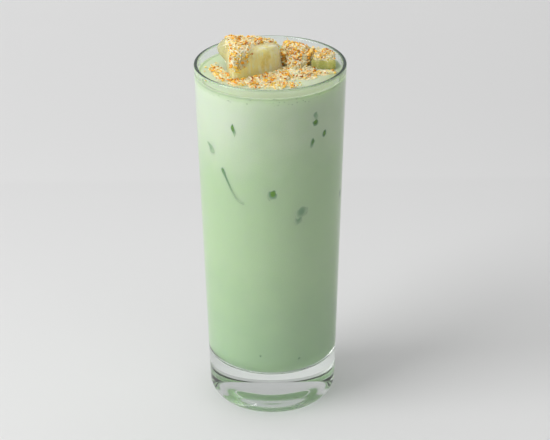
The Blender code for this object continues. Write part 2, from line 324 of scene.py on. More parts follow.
def baked(obj: bpy.types.Object, name: str | None = None) -> bpy.types.Object:
    """Turns an object with modifiers into a plain mesh object, and removes the first one.

    Args:
        obj: The object to turn into a plain one.
        name: The new object's name, or None to keep the old one.

    Returns:
        The plain object.
    """
    name = name or obj.name
    graph = bpy.context.evaluated_depsgraph_get()
    mesh = bpy.data.meshes.new_from_object(
        obj.evaluated_get(graph), preserve_all_data_layers=True, depsgraph=graph
    )
    bpy.data.objects.remove(obj)
    mesh.name = name
    return link(name, mesh)


def dress(obj: bpy.types.Object, material: bpy.types.Material, slot: str, *nodes: str) -> None:
    """Gives a finished piece its material and its body, and hides the solids that it replaces.

    Args:
        obj: The piece.
        material: What it is made of.
        slot: Not used.
        nodes: Names of the solids that it replaces.
    """
    obj.data.materials.clear()
    obj.data.materials.append(material)
    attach(obj, BODY)
    if nodes:
        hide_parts(*nodes)
    LOG.info("%s: %d faces", obj.name, len(obj.data.polygons))


# ---------------------------------------------------------------- materials


class NodeMaker:
    """Adds nodes to a tree and joins them."""

    def __init__(self, tree: bpy.types.NodeTree) -> None:
        """Takes the tree that the nodes go into."""
        self.tree = tree

    def add(self, kind: str, inputs: dict[Any, Any] | None = None, **settings: Any) -> bpy.types.Node:
        """Adds one node.

        Args:
            kind: The node's type.
            inputs: Input name or number to a value, or to a socket that feeds it.
            settings: The node's own settings.

        Returns:
            The node.
        """
        node = self.tree.nodes.new(kind)
        for key, value in settings.items():
            setattr(node, key, value)
        for key, value in (inputs or {}).items():
            if isinstance(value, bpy.types.NodeSocket):
                self.tree.links.new(value, node.inputs[key])
            else:
                node.inputs[key].default_value = value
        return node

    def math(self, operation: str, first: Any, second: Any = 0.0) -> bpy.types.NodeSocket:
        """The result of one sum on one or two numbers."""
        return self.add("ShaderNodeMath", {0: first, 1: second}, operation=operation).outputs[0]

    def remap(
        self, value: Any, low: float, high: float, to_low: float = 0.0, to_high: float = 1.0
    ) -> bpy.types.NodeSocket:
        """A smooth step from to_low at low to to_high at high.

        Args:
            value: What is measured, as a number or a socket.
            low: Where the step starts.
            high: Where it ends.
            to_low: The result below the step.
            to_high: The result above it.

        Returns:
            The result.
        """
        inputs = {"Value": value, 1: low, 2: high, 3: to_low, 4: to_high}
        node = self.add("ShaderNodeMapRange", inputs, interpolation_type="SMOOTHSTEP")
        return node.outputs["Result"]


class ShaderTree(NodeMaker):
    """A material's node tree, with short ways to add nodes and join them."""

    def __init__(self, name: str) -> None:
        """Starts an empty material.

        Args:
            name: The material's name.
        """
        self.material = bpy.data.materials.new(name)
        self.material.use_nodes = True
        super().__init__(self.material.node_tree)
        self.tree.nodes.clear()
        self.output = self.add("ShaderNodeOutputMaterial")

    def place(self) -> bpy.types.NodeSocket:
        """Where a point is on the object, in metres."""
        return self.add("ShaderNodeTexCoord").outputs["Object"]

    def axis(self, name: str) -> bpy.types.NodeSocket:
        """One of X, Y and Z of a point on the object."""
        return self.add("ShaderNodeSeparateXYZ", {0: self.place()}).outputs[name]

    def attribute(self, name: str) -> bpy.types.NodeSocket:
        """A number that the mesh stores."""
        return self.add("ShaderNodeAttribute", attribute_name=name).outputs["Fac"]

    def noise(
        self, span: float, detail: float = 3.0, stretch: tuple[float, float, float] = (1.0, 1.0, 1.0)
    ) -> bpy.types.NodeSocket:
        """Smooth noise of about 0 to 1.

        Args:
            span: Size of its largest lumps, in metres.
            detail: How many finer layers it has.
            stretch: How often it repeats along X, Y and Z, as shares.

        Returns:
            The noise.
        """
        vector = self.add("ShaderNodeMapping", {"Vector": self.place(), "Scale": stretch}).outputs[0]
        inputs = {"Vector": vector, "Scale": 1.0 / span, "Detail": detail}
        return self.add("ShaderNodeTexNoise", inputs).outputs["Fac"]

    def mix(self, share: Any, first: Any, second: Any) -> bpy.types.NodeSocket:
        """A colour between two colours."""
        return self.add("ShaderNodeMix", {0: share, 6: first, 7: second}, data_type="RGBA").outputs[2]

    def mix_shaders(self, share: Any, first: bpy.types.Node, second: bpy.types.Node) -> bpy.types.Node:
        """A shader between two shaders."""
        return self.add("ShaderNodeMixShader", {0: share, 1: first.outputs[0], 2: second.outputs[0]})

    def colours(self, value: Any, stops: Stops) -> bpy.types.NodeSocket:
        """A colour read from stops along a ramp, at a value from 0 to 1.

        Args:
            value: Where on the ramp, as a number or a socket.
            stops: The ramp's colours.

        Returns:
            The colour.
        """
        node = self.add("ShaderNodeValToRGB", {0: value})
        elements = node.color_ramp.elements
        while len(elements) < len(stops):
            elements.new(1.0)
        for element, (position, colour) in zip(elements, stops, strict=True):
            element.position = position
            element.color = colour
        return node.outputs["Color"]

    def bump(self, height: Any, depth: float, strength: float = 1.0) -> bpy.types.NodeSocket:
        """A normal that shows relief of a depth in metres."""
        inputs = {"Height": height, "Distance": depth, "Strength": strength}
        return self.add("ShaderNodeBump", inputs).outputs["Normal"]

    def finish(self, shader: bpy.types.Node) -> bpy.types.Material:
        """Ends the tree in a shader, and gives the finished material."""
        self.tree.links.new(shader.outputs[0], self.output.inputs["Surface"])
        return self.material

    def surface(self, inputs: dict[str, Any]) -> bpy.types.Material:
        """Ends the tree in one Principled shader with these inputs, and gives the finished material."""
        return self.finish(self.add("ShaderNodeBsdfPrincipled", inputs))


@dataclass(frozen=True)
class GlassFinish:
    """Clear soda-lime glass, faintly green and a little milky at its rim. Lamps shine straight through it."""

    rim_height: float
    tint: Colour = (0.95, 0.985, 0.965, 1.0)
    lamp_tint: Colour = (0.97, 0.985, 0.98, 1.0)
    ior: float = 1.5
    polish: float = 0.0
    rim_depth: float = 1.6 * MM
    rim_body: Colour = paint(160, 196, 178)
    rim_share: float = 0.1

    def material(self) -> bpy.types.Material:
        """The glass as a material.

        Returns:
            The material.
        """
        tree = ShaderTree("clear_glass")
        inputs = {
            "Base Color": self.tint,
            "Roughness": self.polish,
            "IOR": self.ior,
            "Transmission Weight": 1.0,
        }
        clear = tree.add("ShaderNodeBsdfPrincipled", inputs)
        milky = tree.add("ShaderNodeBsdfDiffuse", {"Color": self.rim_body})
        rim_start = self.rim_height - self.rim_depth
        near_rim = tree.remap(tree.axis("Z"), rim_start, self.rim_height, 0.0, self.rim_share)
        path = tree.add("ShaderNodeLightPath").outputs
        lamp = tree.math("MAXIMUM", path["Is Shadow Ray"], path["Is Diffuse Ray"])
        through = tree.add("ShaderNodeBsdfTransparent", {"Color": self.lamp_tint})
        return tree.finish(tree.mix_shaders(lamp, tree.mix_shaders(near_rim, clear, milky), through))


@dataclass(frozen=True)
class CoconutColours:
    """From barely toasted cream to dark brown."""

    cream: Colour = paint(255, 248, 214)
    beige: Colour = paint(255, 234, 170)
    golden: Colour = paint(255, 212, 88)
    orange: Colour = paint(246, 168, 44)
    brown: Colour = paint(170, 88, 26)
    wet: Colour = paint(222, 232, 178)


COCONUT = CoconutColours()
CRUST: Stops = ((0.35, COCONUT.beige), (0.5, COCONUT.cream), (0.62, COCONUT.golden))
CRUST_LUMPS: Lumps = (0.9 * MM, 2.0)


@dataclass(frozen=True)
class DrinkFinish:
    """Milky green, paler towards the top where the coconut cream rises, with a wet froth at the level.
    Painted light: a paler upper left where the light falls, painted shade on the level towards the right
    wall, and a painted darker lip at the meniscus.
    """

    level: float
    low: Colour = paint(171, 200, 161)
    middle: Colour = paint(188, 213, 171)
    high: Colour = paint(206, 221, 191)
    heights: tuple[float, float, float, float] = (0.15, 0.5, 0.75, 0.97)
    mottle: Lumps = (14 * MM, 2.0)
    mottle_shift: Step = (0.25, 0.75, -0.05, 0.05)
    # Painted sheen: the pale colour laid on the lit upper left of the drink.
    cream: Colour = paint(228, 236, 219)
    painted_sheen_side: Step = (2 * MM, -22 * MM)
    painted_sheen_rise: Step = (108 * MM, 148 * MM, 0.0, 0.5)
    froth: Colour = paint(201, 217, 186)
    froth_depth: float = 2.0 * MM
    froth_edge: Lumps = (2.4 * MM, 2.0)
    surface: Colour = paint(206, 220, 188)
    # Painted shade: the level's colour is darkened by this towards the right wall.
    painted_wall_shade: Colour = paint(216, 218, 202)
    near_wall: Step = (20 * MM, 30 * MM)
    shaded_side: Step = (-20 * MM, 4 * MM)
    # Painted shade: the darker colour laid on the meniscus at the wall.
    lip: Colour = paint(172, 190, 158)
    painted_lip_shade_reach: Step = (29.6 * MM, 30.6 * MM)
    painted_lip_shade_rise: Step = (-1.2 * MM, -0.2 * MM)
    crust_step: Step = (0.25, 0.7)
    gloss: Step = (0.2, 0.6, 0.28, 0.8)
    ior: float = 1.35
    index_in_glass: float = 0.9
    milkiness: float = 0.7
    scatter: float = 6.0 * MM
    scatter_shares: tuple[float, float, float] = (0.9, 1.1, 0.6)
    relief: Lumps = (0.8 * MM, 3.0)
    relief_depth: tuple[float, float] = (0.12 * MM, 0.5)

    def body(self, tree: ShaderTree) -> bpy.types.NodeSocket:
        """The colour below the level: by height, with a painted sheen that pales the lit upper left, and
        frothy at the top.

        Args:
            tree: The material's nodes.

        Returns:
            The colour.
        """
        height = tree.math("DIVIDE", tree.axis("Z"), self.level)
        uneven = tree.remap(tree.noise(*self.mottle), *self.mottle_shift)
        colours = (self.low, self.middle, self.middle, self.high)
        stops = tuple(zip(self.heights, colours, strict=True))
        body = tree.colours(tree.math("ADD", height, uneven), stops)
        # Painted sheen: the upper left, where the light falls, is paled towards the cream colour.
        painted_sheen_left = tree.remap(tree.axis("X"), *self.painted_sheen_side)
        painted_sheen_high = tree.remap(tree.axis("Z"), *self.painted_sheen_rise)
        body = tree.mix(tree.math("MULTIPLY", painted_sheen_left, painted_sheen_high), body, self.cream)
        edge = tree.math("MULTIPLY", tree.noise(*self.froth_edge), self.froth_depth)
        froth_start = self.level - self.froth_depth
        frothy = tree.remap(tree.math("ADD", tree.axis("Z"), edge), froth_start, self.level)
        return tree.mix(frothy, body, self.froth)

    def colour(self, tree: ShaderTree) -> bpy.types.NodeSocket:
        """The drink's colour at the wall and at its level, with painted shade on the level towards the right
        wall and a painted darker lip at the meniscus.

        Args:
            tree: The material's nodes.

        Returns:
            The colour.
        """
        squares = (tree.math("POWER", tree.axis(name), 2.0) for name in "XY")
        radius = tree.math("SQRT", tree.math("ADD", *squares))
        # Painted shade: the level darkens near the wall on the right side.
        near_wall = tree.remap(radius, *self.near_wall)
        shaded = tree.math("MULTIPLY", near_wall, tree.remap(tree.axis("X"), *self.shaded_side))
        shade = tuple(one * other for one, other in zip(self.surface, self.painted_wall_shade, strict=True))
        level_colour = tree.mix(shaded, self.surface, shade)
        colour = tree.mix(tree.attribute("walled"), level_colour, self.body(tree))
        # Painted shade: the meniscus at the wall is darkened to the lip colour.
        painted_lip_shade_rise = tree.remap(tree.axis("Z"), *(self.level + above for above in self.painted_lip_shade_rise))
        lip = tree.math("MULTIPLY", tree.remap(radius, *self.painted_lip_shade_reach), painted_lip_shade_rise)
        return tree.mix(lip, colour, self.lip)

    def material(self) -> bpy.types.Material:
        """The drink as a material.

        Returns:
            The material, with a mirror where it meets the glass at a grazing angle.
        """
        tree = ShaderTree("pandan_drink")
        cover = tree.attribute("cover")
        crumbs = tree.colours(tree.noise(*CRUST_LUMPS), CRUST)
        inputs = {
            "Base Color": tree.mix(tree.remap(cover, *self.crust_step), self.colour(tree), crumbs),
            "Roughness": tree.remap(cover, *self.gloss),
            "IOR": self.ior,
            "Subsurface Weight": self.milkiness,
            "Subsurface Radius": self.scatter_shares,
            "Subsurface Scale": self.scatter,
            "Normal": tree.bump(tree.noise(*self.relief), *self.relief_depth),
        }
        milk = tree.add("ShaderNodeBsdfPrincipled", inputs)
        grazing = tree.add("ShaderNodeFresnel", {"IOR": self.index_in_glass}).outputs[0]
        mirror = tree.add("ShaderNodeBsdfAnisotropic", {"Color": WHITE, "Roughness": 0.0})
        share = tree.math("MULTIPLY", grazing, tree.attribute("walled"))
        return tree.finish(tree.mix_shaders(share, milk, mirror))


@dataclass(frozen=True)
class IceFinish:
    """Cloudy ice, tinted olive by the drink, with streaks of trapped air, a frosted side and a faint painted
    glow that stands for light passing through it.
    """

    name: str
    level: float
    top: Colour = paint(252, 232, 162)
    bottom: Colour = paint(252, 240, 164)
    rise: Step = (-1 * MM, 11 * MM)
    blotch: Colour = paint(222, 206, 118)
    blotch_lumps: Lumps = (4.5 * MM, 3.0)
    blotch_step: Step = (0.5, 0.75, 0.0, 0.8)
    streak: Colour = paint(255, 250, 212)
    streak_lumps: Lumps = (1.5 * MM, 3.0)
    streak_stretch: tuple[float, float, float] = (1.0, 1.0, 0.3)
    streak_step: Step = (0.48, 0.68, 0.0, 0.9)
    frost: Colour = paint(255, 240, 200)
    frost_from: float = FAR
    frost_lumps: Lumps = (0.8 * MM, 4.0)
    frost_step: Step = (0.36, 0.6, 0.1, 1.0)
    pale: Colour = paint(224, 218, 168)
    pale_until: float = -FAR
    edge: float = 3 * MM
    crust_step: Step = (0.2, 0.6)
    gloss: Step = (0.1, 0.5, 0.22, 0.8)
    ior: float = 1.31
    clear: tuple[float, float] = (0.1, 0.5)
    scatter: float = 12 * MM
    scatter_shares: tuple[float, float, float] = (1.0, 0.95, 0.6)
    # Strength of the painted glow that stands for light passing through the ice.
    glow: float = 0.08
    wet_coat: tuple[float, float] = (0.25, 0.1)
    relief: Lumps = (1.3 * MM, 4.0)
    relief_depth: tuple[float, float] = (0.3 * MM, 0.8)

    def material(self) -> bpy.types.Material:
        """The ice as a material, clearer where it is pale.

        Returns:
            The material.
        """
        tree = ShaderTree(self.name)
        along = tree.axis("X")
        height = tree.remap(tree.axis("Z"), *(self.level + above for above in self.rise))
        body = tree.mix(height, self.bottom, self.top)
        blotches = tree.remap(tree.noise(*self.blotch_lumps), *self.blotch_step)
        body = tree.mix(blotches, body, self.blotch)
        streaks = tree.remap(tree.noise(*self.streak_lumps, self.streak_stretch), *self.streak_step)
        body = tree.mix(streaks, body, self.streak)
        frosted = tree.remap(along, self.frost_from - self.edge, self.frost_from + self.edge)
        grainy = tree.remap(tree.noise(*self.frost_lumps), *self.frost_step)
        body = tree.mix(tree.math("MULTIPLY", frosted, grainy), body, self.frost)
        pale = tree.remap(along, self.pale_until - self.edge, self.pale_until + self.edge, 1.0, 0.0)
        body = tree.mix(pale, body, self.pale)
        crust = tree.colours(tree.noise(*CRUST_LUMPS), CRUST)
        cover = tree.remap(tree.attribute("cover"), *self.crust_step)
        open_ice = tree.math("SUBTRACT", 1.0, tree.math("MAXIMUM", cover, frosted))
        clear = tree.remap(pale, 0.0, 1.0, *self.clear)
        coat, coat_roughness = self.wet_coat
        return tree.surface(
            {
                "Base Color": tree.mix(cover, body, crust),
                "Roughness": tree.remap(tree.attribute("cover"), *self.gloss),
                "IOR": self.ior,
                "Transmission Weight": tree.math("MULTIPLY", clear, open_ice),
                "Subsurface Weight": 1.0,
                "Subsurface Radius": self.scatter_shares,
                "Subsurface Scale": self.scatter,
                # Painted light: a faint glow in the ice's own colour stands for light passing through it.
                "Emission Color": body,
                "Emission Strength": tree.math("MULTIPLY", open_ice, self.glow),
                "Coat Weight": coat,
                "Coat Roughness": coat_roughness,
                "Normal": tree.bump(tree.noise(*self.relief), *self.relief_depth),
            }
        )


@dataclass(frozen=True)
class CoconutFinish:
    """Dry toasted coconut whose pieces differ in tone."""

    name: str
    stops: Stops
    mottle: Lumps = (0.7 * MM, 3.0)
    mottle_shift: Step = (0.3, 0.7, -0.14, 0.14)
    rough: Lumps = (0.5 * MM, 2.0)
    roughness: Step = (0.3, 0.7, 0.6, 0.85)
    softness: float = 0.2
    scatter: float = 0.5 * MM
    scatter_shares: tuple[float, float, float] = (1.0, 0.8, 0.5)
    relief: Lumps = (0.25 * MM, 3.0)
    relief_depth: tuple[float, float] = (0.05 * MM, 0.6)

    def material(self) -> bpy.types.Material:
        """One kind of coconut as a material.

        Returns:
            The material.
        """
        tree = ShaderTree(self.name)
        mottled = tree.remap(tree.noise(*self.mottle), *self.mottle_shift)
        return tree.surface(
            {
                "Base Color": tree.colours(tree.math("ADD", tree.attribute("tone"), mottled), self.stops),
                "Roughness": tree.remap(tree.noise(*self.rough), *self.roughness),
                "Subsurface Weight": self.softness,
                "Subsurface Radius": self.scatter_shares,
                "Subsurface Scale": self.scatter,
                "Normal": tree.bump(tree.noise(*self.relief), *self.relief_depth),
            }
        )


@dataclass(frozen=True)
class SpeckFinish:
    """Bits of pandan leaf, vivid at the wall and paler where they lie deeper in the drink."""

    vivid: Colour = paint(102, 154, 26)
    dark: Colour = paint(74, 124, 22)
    middle_veil: Colour = paint(118, 156, 118)
    veiled: Colour = paint(172, 198, 158)
    blotches: Lumps = (0.8 * MM, 3.0)
    blotch_step: Step = (0.35, 0.65)
    near_step: Step = (0.1, 0.5)
    far_step: Step = (0.4, 1.0)
    rough: Lumps = (0.6 * MM, 3.0)
    roughness: Step = (0.3, 0.7, 0.35, 0.6)
    relief: Lumps = (0.4 * MM, 3.0)
    relief_depth: tuple[float, float] = (0.05 * MM, 0.5)

    def material(self) -> bpy.types.Material:
        """The leaf as a material.

        Returns:
            The material.
        """
        tree = ShaderTree("pandan_leaf")
        leaf = tree.mix(tree.remap(tree.noise(*self.blotches), *self.blotch_step), self.dark, self.vivid)
        near = tree.remap(tree.attribute("veil"), *self.near_step)
        far = tree.remap(tree.attribute("veil"), *self.far_step)
        return tree.surface(
            {
                "Base Color": tree.mix(far, tree.mix(near, leaf, self.middle_veil), self.veiled),
                "Roughness": tree.remap(tree.noise(*self.rough), *self.roughness),
                "Normal": tree.bump(tree.noise(*self.relief), *self.relief_depth),
            }
        )


@dataclass(frozen=True)
class BubbleFinish:
    """Small bubbles: a wet film round air, darker than the froth round them."""

    thin: Colour = paint(170, 196, 164)
    thick: Colour = paint(120, 152, 118)
    film: Lumps = (0.5 * MM, 3.0)
    roughness: Step = (0.3, 0.7, 0.06, 0.16)
    clear: float = 0.3
    ior: float = 1.33

    def material(self) -> bpy.types.Material:
        """The bubbles as a material.

        Returns:
            The material.
        """
        tree = ShaderTree("bubbles")
        return tree.surface(
            {
                "Base Color": tree.mix(tree.attribute("tone"), self.thin, self.thick),
                "Roughness": tree.remap(tree.noise(*self.film), *self.roughness),
                "Transmission Weight": self.clear,
                "IOR": self.ior,
            }
        )


@dataclass(frozen=True)
class FloorFinish:
    """A pale matt table that turns a shade darker behind the glass."""

    near: Colour = paint(227, 227, 227)
    far: Colour = paint(229, 229, 229)
    farthest: Colour = paint(254, 254, 254)
    turn: float = 232 * MM
    soft: float = 6 * MM
    end: float = 900 * MM
    grain: Lumps = (30 * MM, 3.0)
    roughness: Step = (0.3, 0.7, 0.7, 0.8)
    shine: float = 0.2

    def material(self) -> bpy.types.Material:
        """The table as a material.

        Returns:
            The material.
        """
        tree = ShaderTree("pale_table")
        behind = tree.remap(tree.axis("Y"), self.turn - self.soft, self.turn + self.soft)
        distant = tree.mix(tree.remap(tree.axis("Y"), self.turn, self.end), self.far, self.farthest)
        return tree.surface(
            {
                "Base Color": tree.mix(behind, self.near, distant),
                "Roughness": tree.remap(tree.noise(*self.grain), *self.roughness),
                "Specular IOR Level": self.shine,
            }
        )


# ---------------------------------------------------------------- small pieces and how they are strewn


class Shape(Enum):
    """The forms that small pieces come in."""

    GRAIN = "grain"
    SHRED = "shred"
    FLAKE = "flake"
    BUBBLE = "bubble"


@dataclass
class ShapeSet:
    """A few unlike shapes of one form, each 1 metre long, for the strewing to choose from."""

    form: Shape
    count: int = 8
    seed: int = 5

    GRAIN_LUMPS = (0.72, 1.12)
    GRAIN_STRETCH = ((0.5, 0.95), (0.4, 0.8))
    SHRED_RADIUS = 0.08
    SHRED_BENDS = ((0.1, 0.55), (-1.2, 1.2))
    SHRED_SECTION = ((0.35, 0.6), (0.8, 1.3))
    SHRED_TAPER = (0.36, 0.6)
    SHRED_SWAY = (0.12, 3.0)
    FLAKE_RADII = (0.5, 0.44)
    FLAKE_DEPTH = 0.22
    FLAKE_LUMPS = (0.8, 1.15)
    FLAKE_BEND = (0.2, 0.7)
    FLAKE_STRETCH = (0.45, 0.9)

    def grain(self, rng: random.Random) -> bmesh.types.BMesh:
        """An angular crumb.

        Args:
            rng: The source of random draws.

        Returns:
            The crumb.
        """
        shape = bmesh.new()
        bmesh.ops.create_icosphere(shape, subdivisions=1, radius=0.5)
        stretch = Vector((1.0, *(rng.uniform(*span) for span in self.GRAIN_STRETCH)))
        for vert in shape.verts:
            vert.co = vert.co * rng.uniform(*self.GRAIN_LUMPS) * stretch
        return shape

    def shred(self, rng: random.Random) -> bmesh.types.BMesh:
        """A thin curled strip along X.

        Args:
            rng: The source of random draws.

        Returns:
            The strip.
        """
        shape = bmesh.new()
        thick = self.SHRED_RADIUS
        bmesh.ops.create_cone(shape, cap_ends=True, segments=4, radius1=thick, radius2=thick, depth=1.0)
        long_edges = [e for e in shape.edges if abs(e.verts[0].co.z - e.verts[1].co.z) > 0.5]
        bmesh.ops.subdivide_edges(shape, edges=long_edges, cuts=3)
        bmesh.ops.rotate(shape, verts=shape.verts, matrix=Matrix.Rotation(math.pi / 2, 3, "Y"))
        bend, twist = (rng.uniform(*span) for span in self.SHRED_BENDS)
        flat, width = (rng.uniform(*span) for span in self.SHRED_SECTION)
        sway, waves = self.SHRED_SWAY
        for vert in shape.verts:
            along = vert.co.x
            thin = 1.0 - (2 * along) ** 2 * rng.uniform(*self.SHRED_TAPER)
            across = Matrix.Rotation(twist * along, 2) @ Vector((vert.co.y * width, vert.co.z * flat)) * thin
            vert.co = Vector((along, across.x + sway * math.sin(waves * along), across.y - bend * along**2))
        return shape

    def flake(self, rng: random.Random) -> bmesh.types.BMesh:
        """A curled chip of toasted coconut.

        Args:
            rng: The source of random draws.

        Returns:
            The chip.
        """
        shape = bmesh.new()
        low, high = self.FLAKE_RADII
        depth = self.FLAKE_DEPTH
        bmesh.ops.create_cone(shape, cap_ends=True, segments=6, radius1=low, radius2=high, depth=depth)
        bend, stretch = rng.uniform(*self.FLAKE_BEND), rng.uniform(*self.FLAKE_STRETCH)
        for vert in shape.verts:
            vert.co *= rng.uniform(*self.FLAKE_LUMPS)
            vert.co.y *= stretch
            vert.co.z += bend * vert.co.x**2
        return shape

    def bubble(self, _: random.Random) -> bmesh.types.BMesh:
        """A small round bubble.

        Returns:
            The bubble.
        """
        shape = bmesh.new()
        bmesh.ops.create_icosphere(shape, subdivisions=2, radius=0.5)
        return shape

    def build(self) -> bpy.types.Collection:
        """Makes the shapes in a collection of their own.

        Returns:
            The collection.
        """
        rng = random.Random(self.seed)
        home = collection(f"{self.form.value}_shapes")
        make = getattr(self, self.form.value)
        for number in range(self.count):
            shape = make(rng)
            bmesh.ops.recalc_face_normals(shape, faces=shape.faces)
            mesh = as_mesh(shape, f"{self.form.value}_{number}")
            if self.form is Shape.BUBBLE:
                mesh.shade_smooth()
            home.objects.link(bpy.data.objects.new(mesh.name, mesh))
        return home


@dataclass(frozen=True)
class Strewing:
    """How one kind of small piece is strewn over a surface.

    Lengths are in metres. A shape is 1 metre long before it is scaled to smallest to largest.
    """

    name: str
    cover: str
    per_area: float
    smallest: float
    largest: float
    seed: int
    lean: float = math.radians(25)
    rise: tuple[float, float] = (-0.1 * MM, 0.35 * MM)


class StrewTree(NodeMaker):
    """Geometry Nodes that strew shapes over a surface, each turned, leaned, scaled and toned at random."""

    INPUTS = {
        "Surface": "Geometry",
        "Shapes": "Collection",
        "Finish": "Material",
        "Cover": "String",
        "Per Area": "Float",
        "Smallest": "Float",
        "Largest": "Float",
        "Lean": "Float",
        "Rise Low": "Float",
        "Rise High": "Float",
        "Seed": "Int",
    }

    def __init__(self) -> None:
        """Builds the tree with its named inputs."""
        super().__init__(bpy.data.node_groups.new("strew", "GeometryNodeTree"))
        self.sockets: dict[str, str] = {}
        for name, kind in self.INPUTS.items():
            socket = self.tree.interface.new_socket(name, in_out="INPUT", socket_type=f"NodeSocket{kind}")
            self.sockets[name] = socket.identifier
        self.tree.interface.new_socket("Pieces", in_out="OUTPUT", socket_type="NodeSocketGeometry")
        self._build()

    def random(self, low: Any, high: Any, seed: bpy.types.NodeSocket, step: int) -> bpy.types.NodeSocket:
        """A number for each point from low to high; step keeps the draws apart."""
        inputs = {2: low, 3: high, "Seed": self.math("ADD", seed, float(step))}
        return self.add("FunctionNodeRandomValue", inputs, data_type="FLOAT").outputs[1]

    def turned(self, rotation: bpy.types.NodeSocket, by: bpy.types.Node) -> bpy.types.NodeSocket:
        """A rotation that is turned further about its own axes."""
        inputs = {0: rotation, 1: by.outputs[0]}
        return self.add("FunctionNodeRotateRotation", inputs, rotation_space="LOCAL").outputs[0]

    def _build(self) -> None:
        """Joins the nodes."""
        given = self.add("NodeGroupInput").outputs
        seed, lean = given["Seed"], given["Lean"]
        share = self.add("GeometryNodeInputNamedAttribute", {"Name": given["Cover"]}, data_type="FLOAT")
        density = self.math("MULTIPLY", share.outputs[0], given["Per Area"])
        points = self.add(
            "GeometryNodeDistributePointsOnFaces",
            {"Mesh": given["Surface"], "Density": density, "Seed": seed},
            distribute_method="RANDOM",
        ).outputs
        rise = self.random(given["Rise Low"], given["Rise High"], seed, 1)
        offset = self.add("ShaderNodeVectorMath", {0: points["Normal"], "Scale": rise}, operation="SCALE")
        raised = self.add(
            "GeometryNodeSetPosition", {"Geometry": points["Points"], "Offset": offset.outputs[0]}
        )
        back = self.math("MULTIPLY", lean, -1.0)
        tilts = {0: self.random(back, lean, seed, 2), 1: self.random(back, lean, seed, 3)}
        yaw = self.add("ShaderNodeCombineXYZ", {2: self.random(0.0, math.tau, seed, 4)})
        rotation = self.turned(points["Rotation"], yaw)
        shapes = self.add(
            "GeometryNodeCollectionInfo",
            {"Collection": given["Shapes"], "Separate Children": True, "Reset Children": True},
        )
        placed = self.add(
            "GeometryNodeInstanceOnPoints",
            {
                "Points": raised.outputs[0],
                "Instance": shapes.outputs[0],
                "Pick Instance": True,
                "Rotation": self.turned(rotation, self.add("ShaderNodeCombineXYZ", tilts)),
                "Scale": self.random(given["Smallest"], given["Largest"], seed, 5),
            },
        )
        toned = self.add(
            "GeometryNodeStoreNamedAttribute",
            {"Geometry": placed.outputs[0], "Name": "tone", "Value": self.random(0.0, 1.0, seed, 6)},
            data_type="FLOAT",
            domain="INSTANCE",
        )
        real = self.add("GeometryNodeRealizeInstances", {0: toned.outputs[0]})
        inputs = {"Geometry": real.outputs[0], "Material": given["Finish"]}
        self.add("NodeGroupOutput", {0: self.add("GeometryNodeSetMaterial", inputs).outputs[0]})

    def strew(
        self,
        ground: bpy.types.Object,
        shapes: ShapeSet,
        finish: bpy.types.Material,
        how: Strewing,
    ) -> bpy.types.Object:
        """Strews one kind of piece over a copy of a surface.

        Args:
            ground: The surface, with the attribute that how.cover names.
            shapes: The shapes to choose from, made here and removed again.
            finish: What the pieces are made of.
            how: Their number, sizes and lie.

        Returns:
            All of them as one plain mesh object.
        """
        home = shapes.build()
        surface = link(f"{how.name}_ground", ground.data.copy())
        modifier = surface.modifiers.new("strew", "NODES")
        modifier.node_group = self.tree
        values = {
            "Shapes": home,
            "Finish": finish,
            "Cover": how.cover,
            "Per Area": how.per_area,
            "Smallest": how.smallest,
            "Largest": how.largest,
            "Lean": how.lean,
            "Rise Low": how.rise[0],
            "Rise High": how.rise[1],
            "Seed": how.seed,
        }
        for name, value in values.items():
            modifier[self.sockets[name]] = value
        pieces = baked(surface, how.name)
        discard(home)
        return pieces


# ---------------------------------------------------------------- the glass


@dataclass(frozen=True)
class Tumbler:
    """The glass: a straight tapered side, a thin wall and a thick base with a rounded heel."""

    height: float
    rim_radius: float
    base_radius: float = 28.5 * MM
    wall: float = 1.65 * MM
    heel_radius: float = 8.6 * MM
    floor_height: float = 20.5 * MM
    floor_corner: float = 9.0 * MM
    punt_radius: float = 17.2 * MM
    punt_depth: float = 6.2 * MM
    punt_power: float = 6.0
    steps: int = 192
    arc_steps: int = 18
    crease: float = math.radians(25)

    @classmethod
    def from_frame(cls) -> "Tumbler":
        """The tumbler at the size of its solid."""
        _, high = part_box("glass")
        return cls(height=high.z, rim_radius=high.x)

    def outer_radius(self, height: float) -> float:
        """The outer radius at a height on the straight side."""
        share = (height - self.heel_radius) / (self.height - self.heel_radius)
        return self.base_radius + (self.rim_radius - self.base_radius) * share

    def inner_radius(self, height: float) -> float:
        """The inner radius at a height on the straight side."""
        return self.outer_radius(height) - self.wall

    def floor_arc(self, grow: float) -> Profile:
        """The rounded corner between the inner floor and the wall, from the floor outwards and up.

        Args:
            grow: How much larger its radius is than the glass's own, in metres.

        Returns:
            Its points as (radius, height).
        """
        top = self.floor_height + self.floor_corner
        middle = (self.inner_radius(top) - self.floor_corner, top)
        return arc(middle, self.floor_corner + grow, -90, 0, self.arc_steps)

    def punt_curve(self) -> Profile:
        """The flat-topped hollow in the underside, from its edge up to the axis.

        Returns:
            Its points as (radius, height).
        """
        areas = [1 - i / self.arc_steps for i in range(self.arc_steps + 1)]
        return [
            (self.punt_radius * math.sqrt(area), self.punt_depth * (1 - area ** (self.punt_power / 2)))
            for area in areas
        ]

    def profile(self) -> Profile:
        """The section: up the inside, over the rim and down the outside.

        Returns:
            Its points as (radius, height).
        """
        lip = self.wall / 2
        inside = [(0.0, self.floor_height), *self.floor_arc(0.0)]
        rim = arc((self.rim_radius - lip, self.height - lip), lip, 180, 0, self.arc_steps)
        heel_middle = (self.base_radius - self.heel_radius, self.heel_radius)
        heel = arc(heel_middle, self.heel_radius, 0, -90, self.arc_steps)
        return [*inside, *rim, *heel, *self.punt_curve()]

    def build(self) -> bpy.types.Object:
        """Makes the glass.

        Returns:
            The glass.
        """
        glass = lathe("tumbler", self.profile(), self.steps)
        glass.data.set_sharp_from_angle(angle=self.crease)
        dress(glass, GlassFinish(rim_height=self.height).material(), "clear_glass", "glass")
        return glass


# ---------------------------------------------------------------- the ice


Corner = tuple[float, float, float]


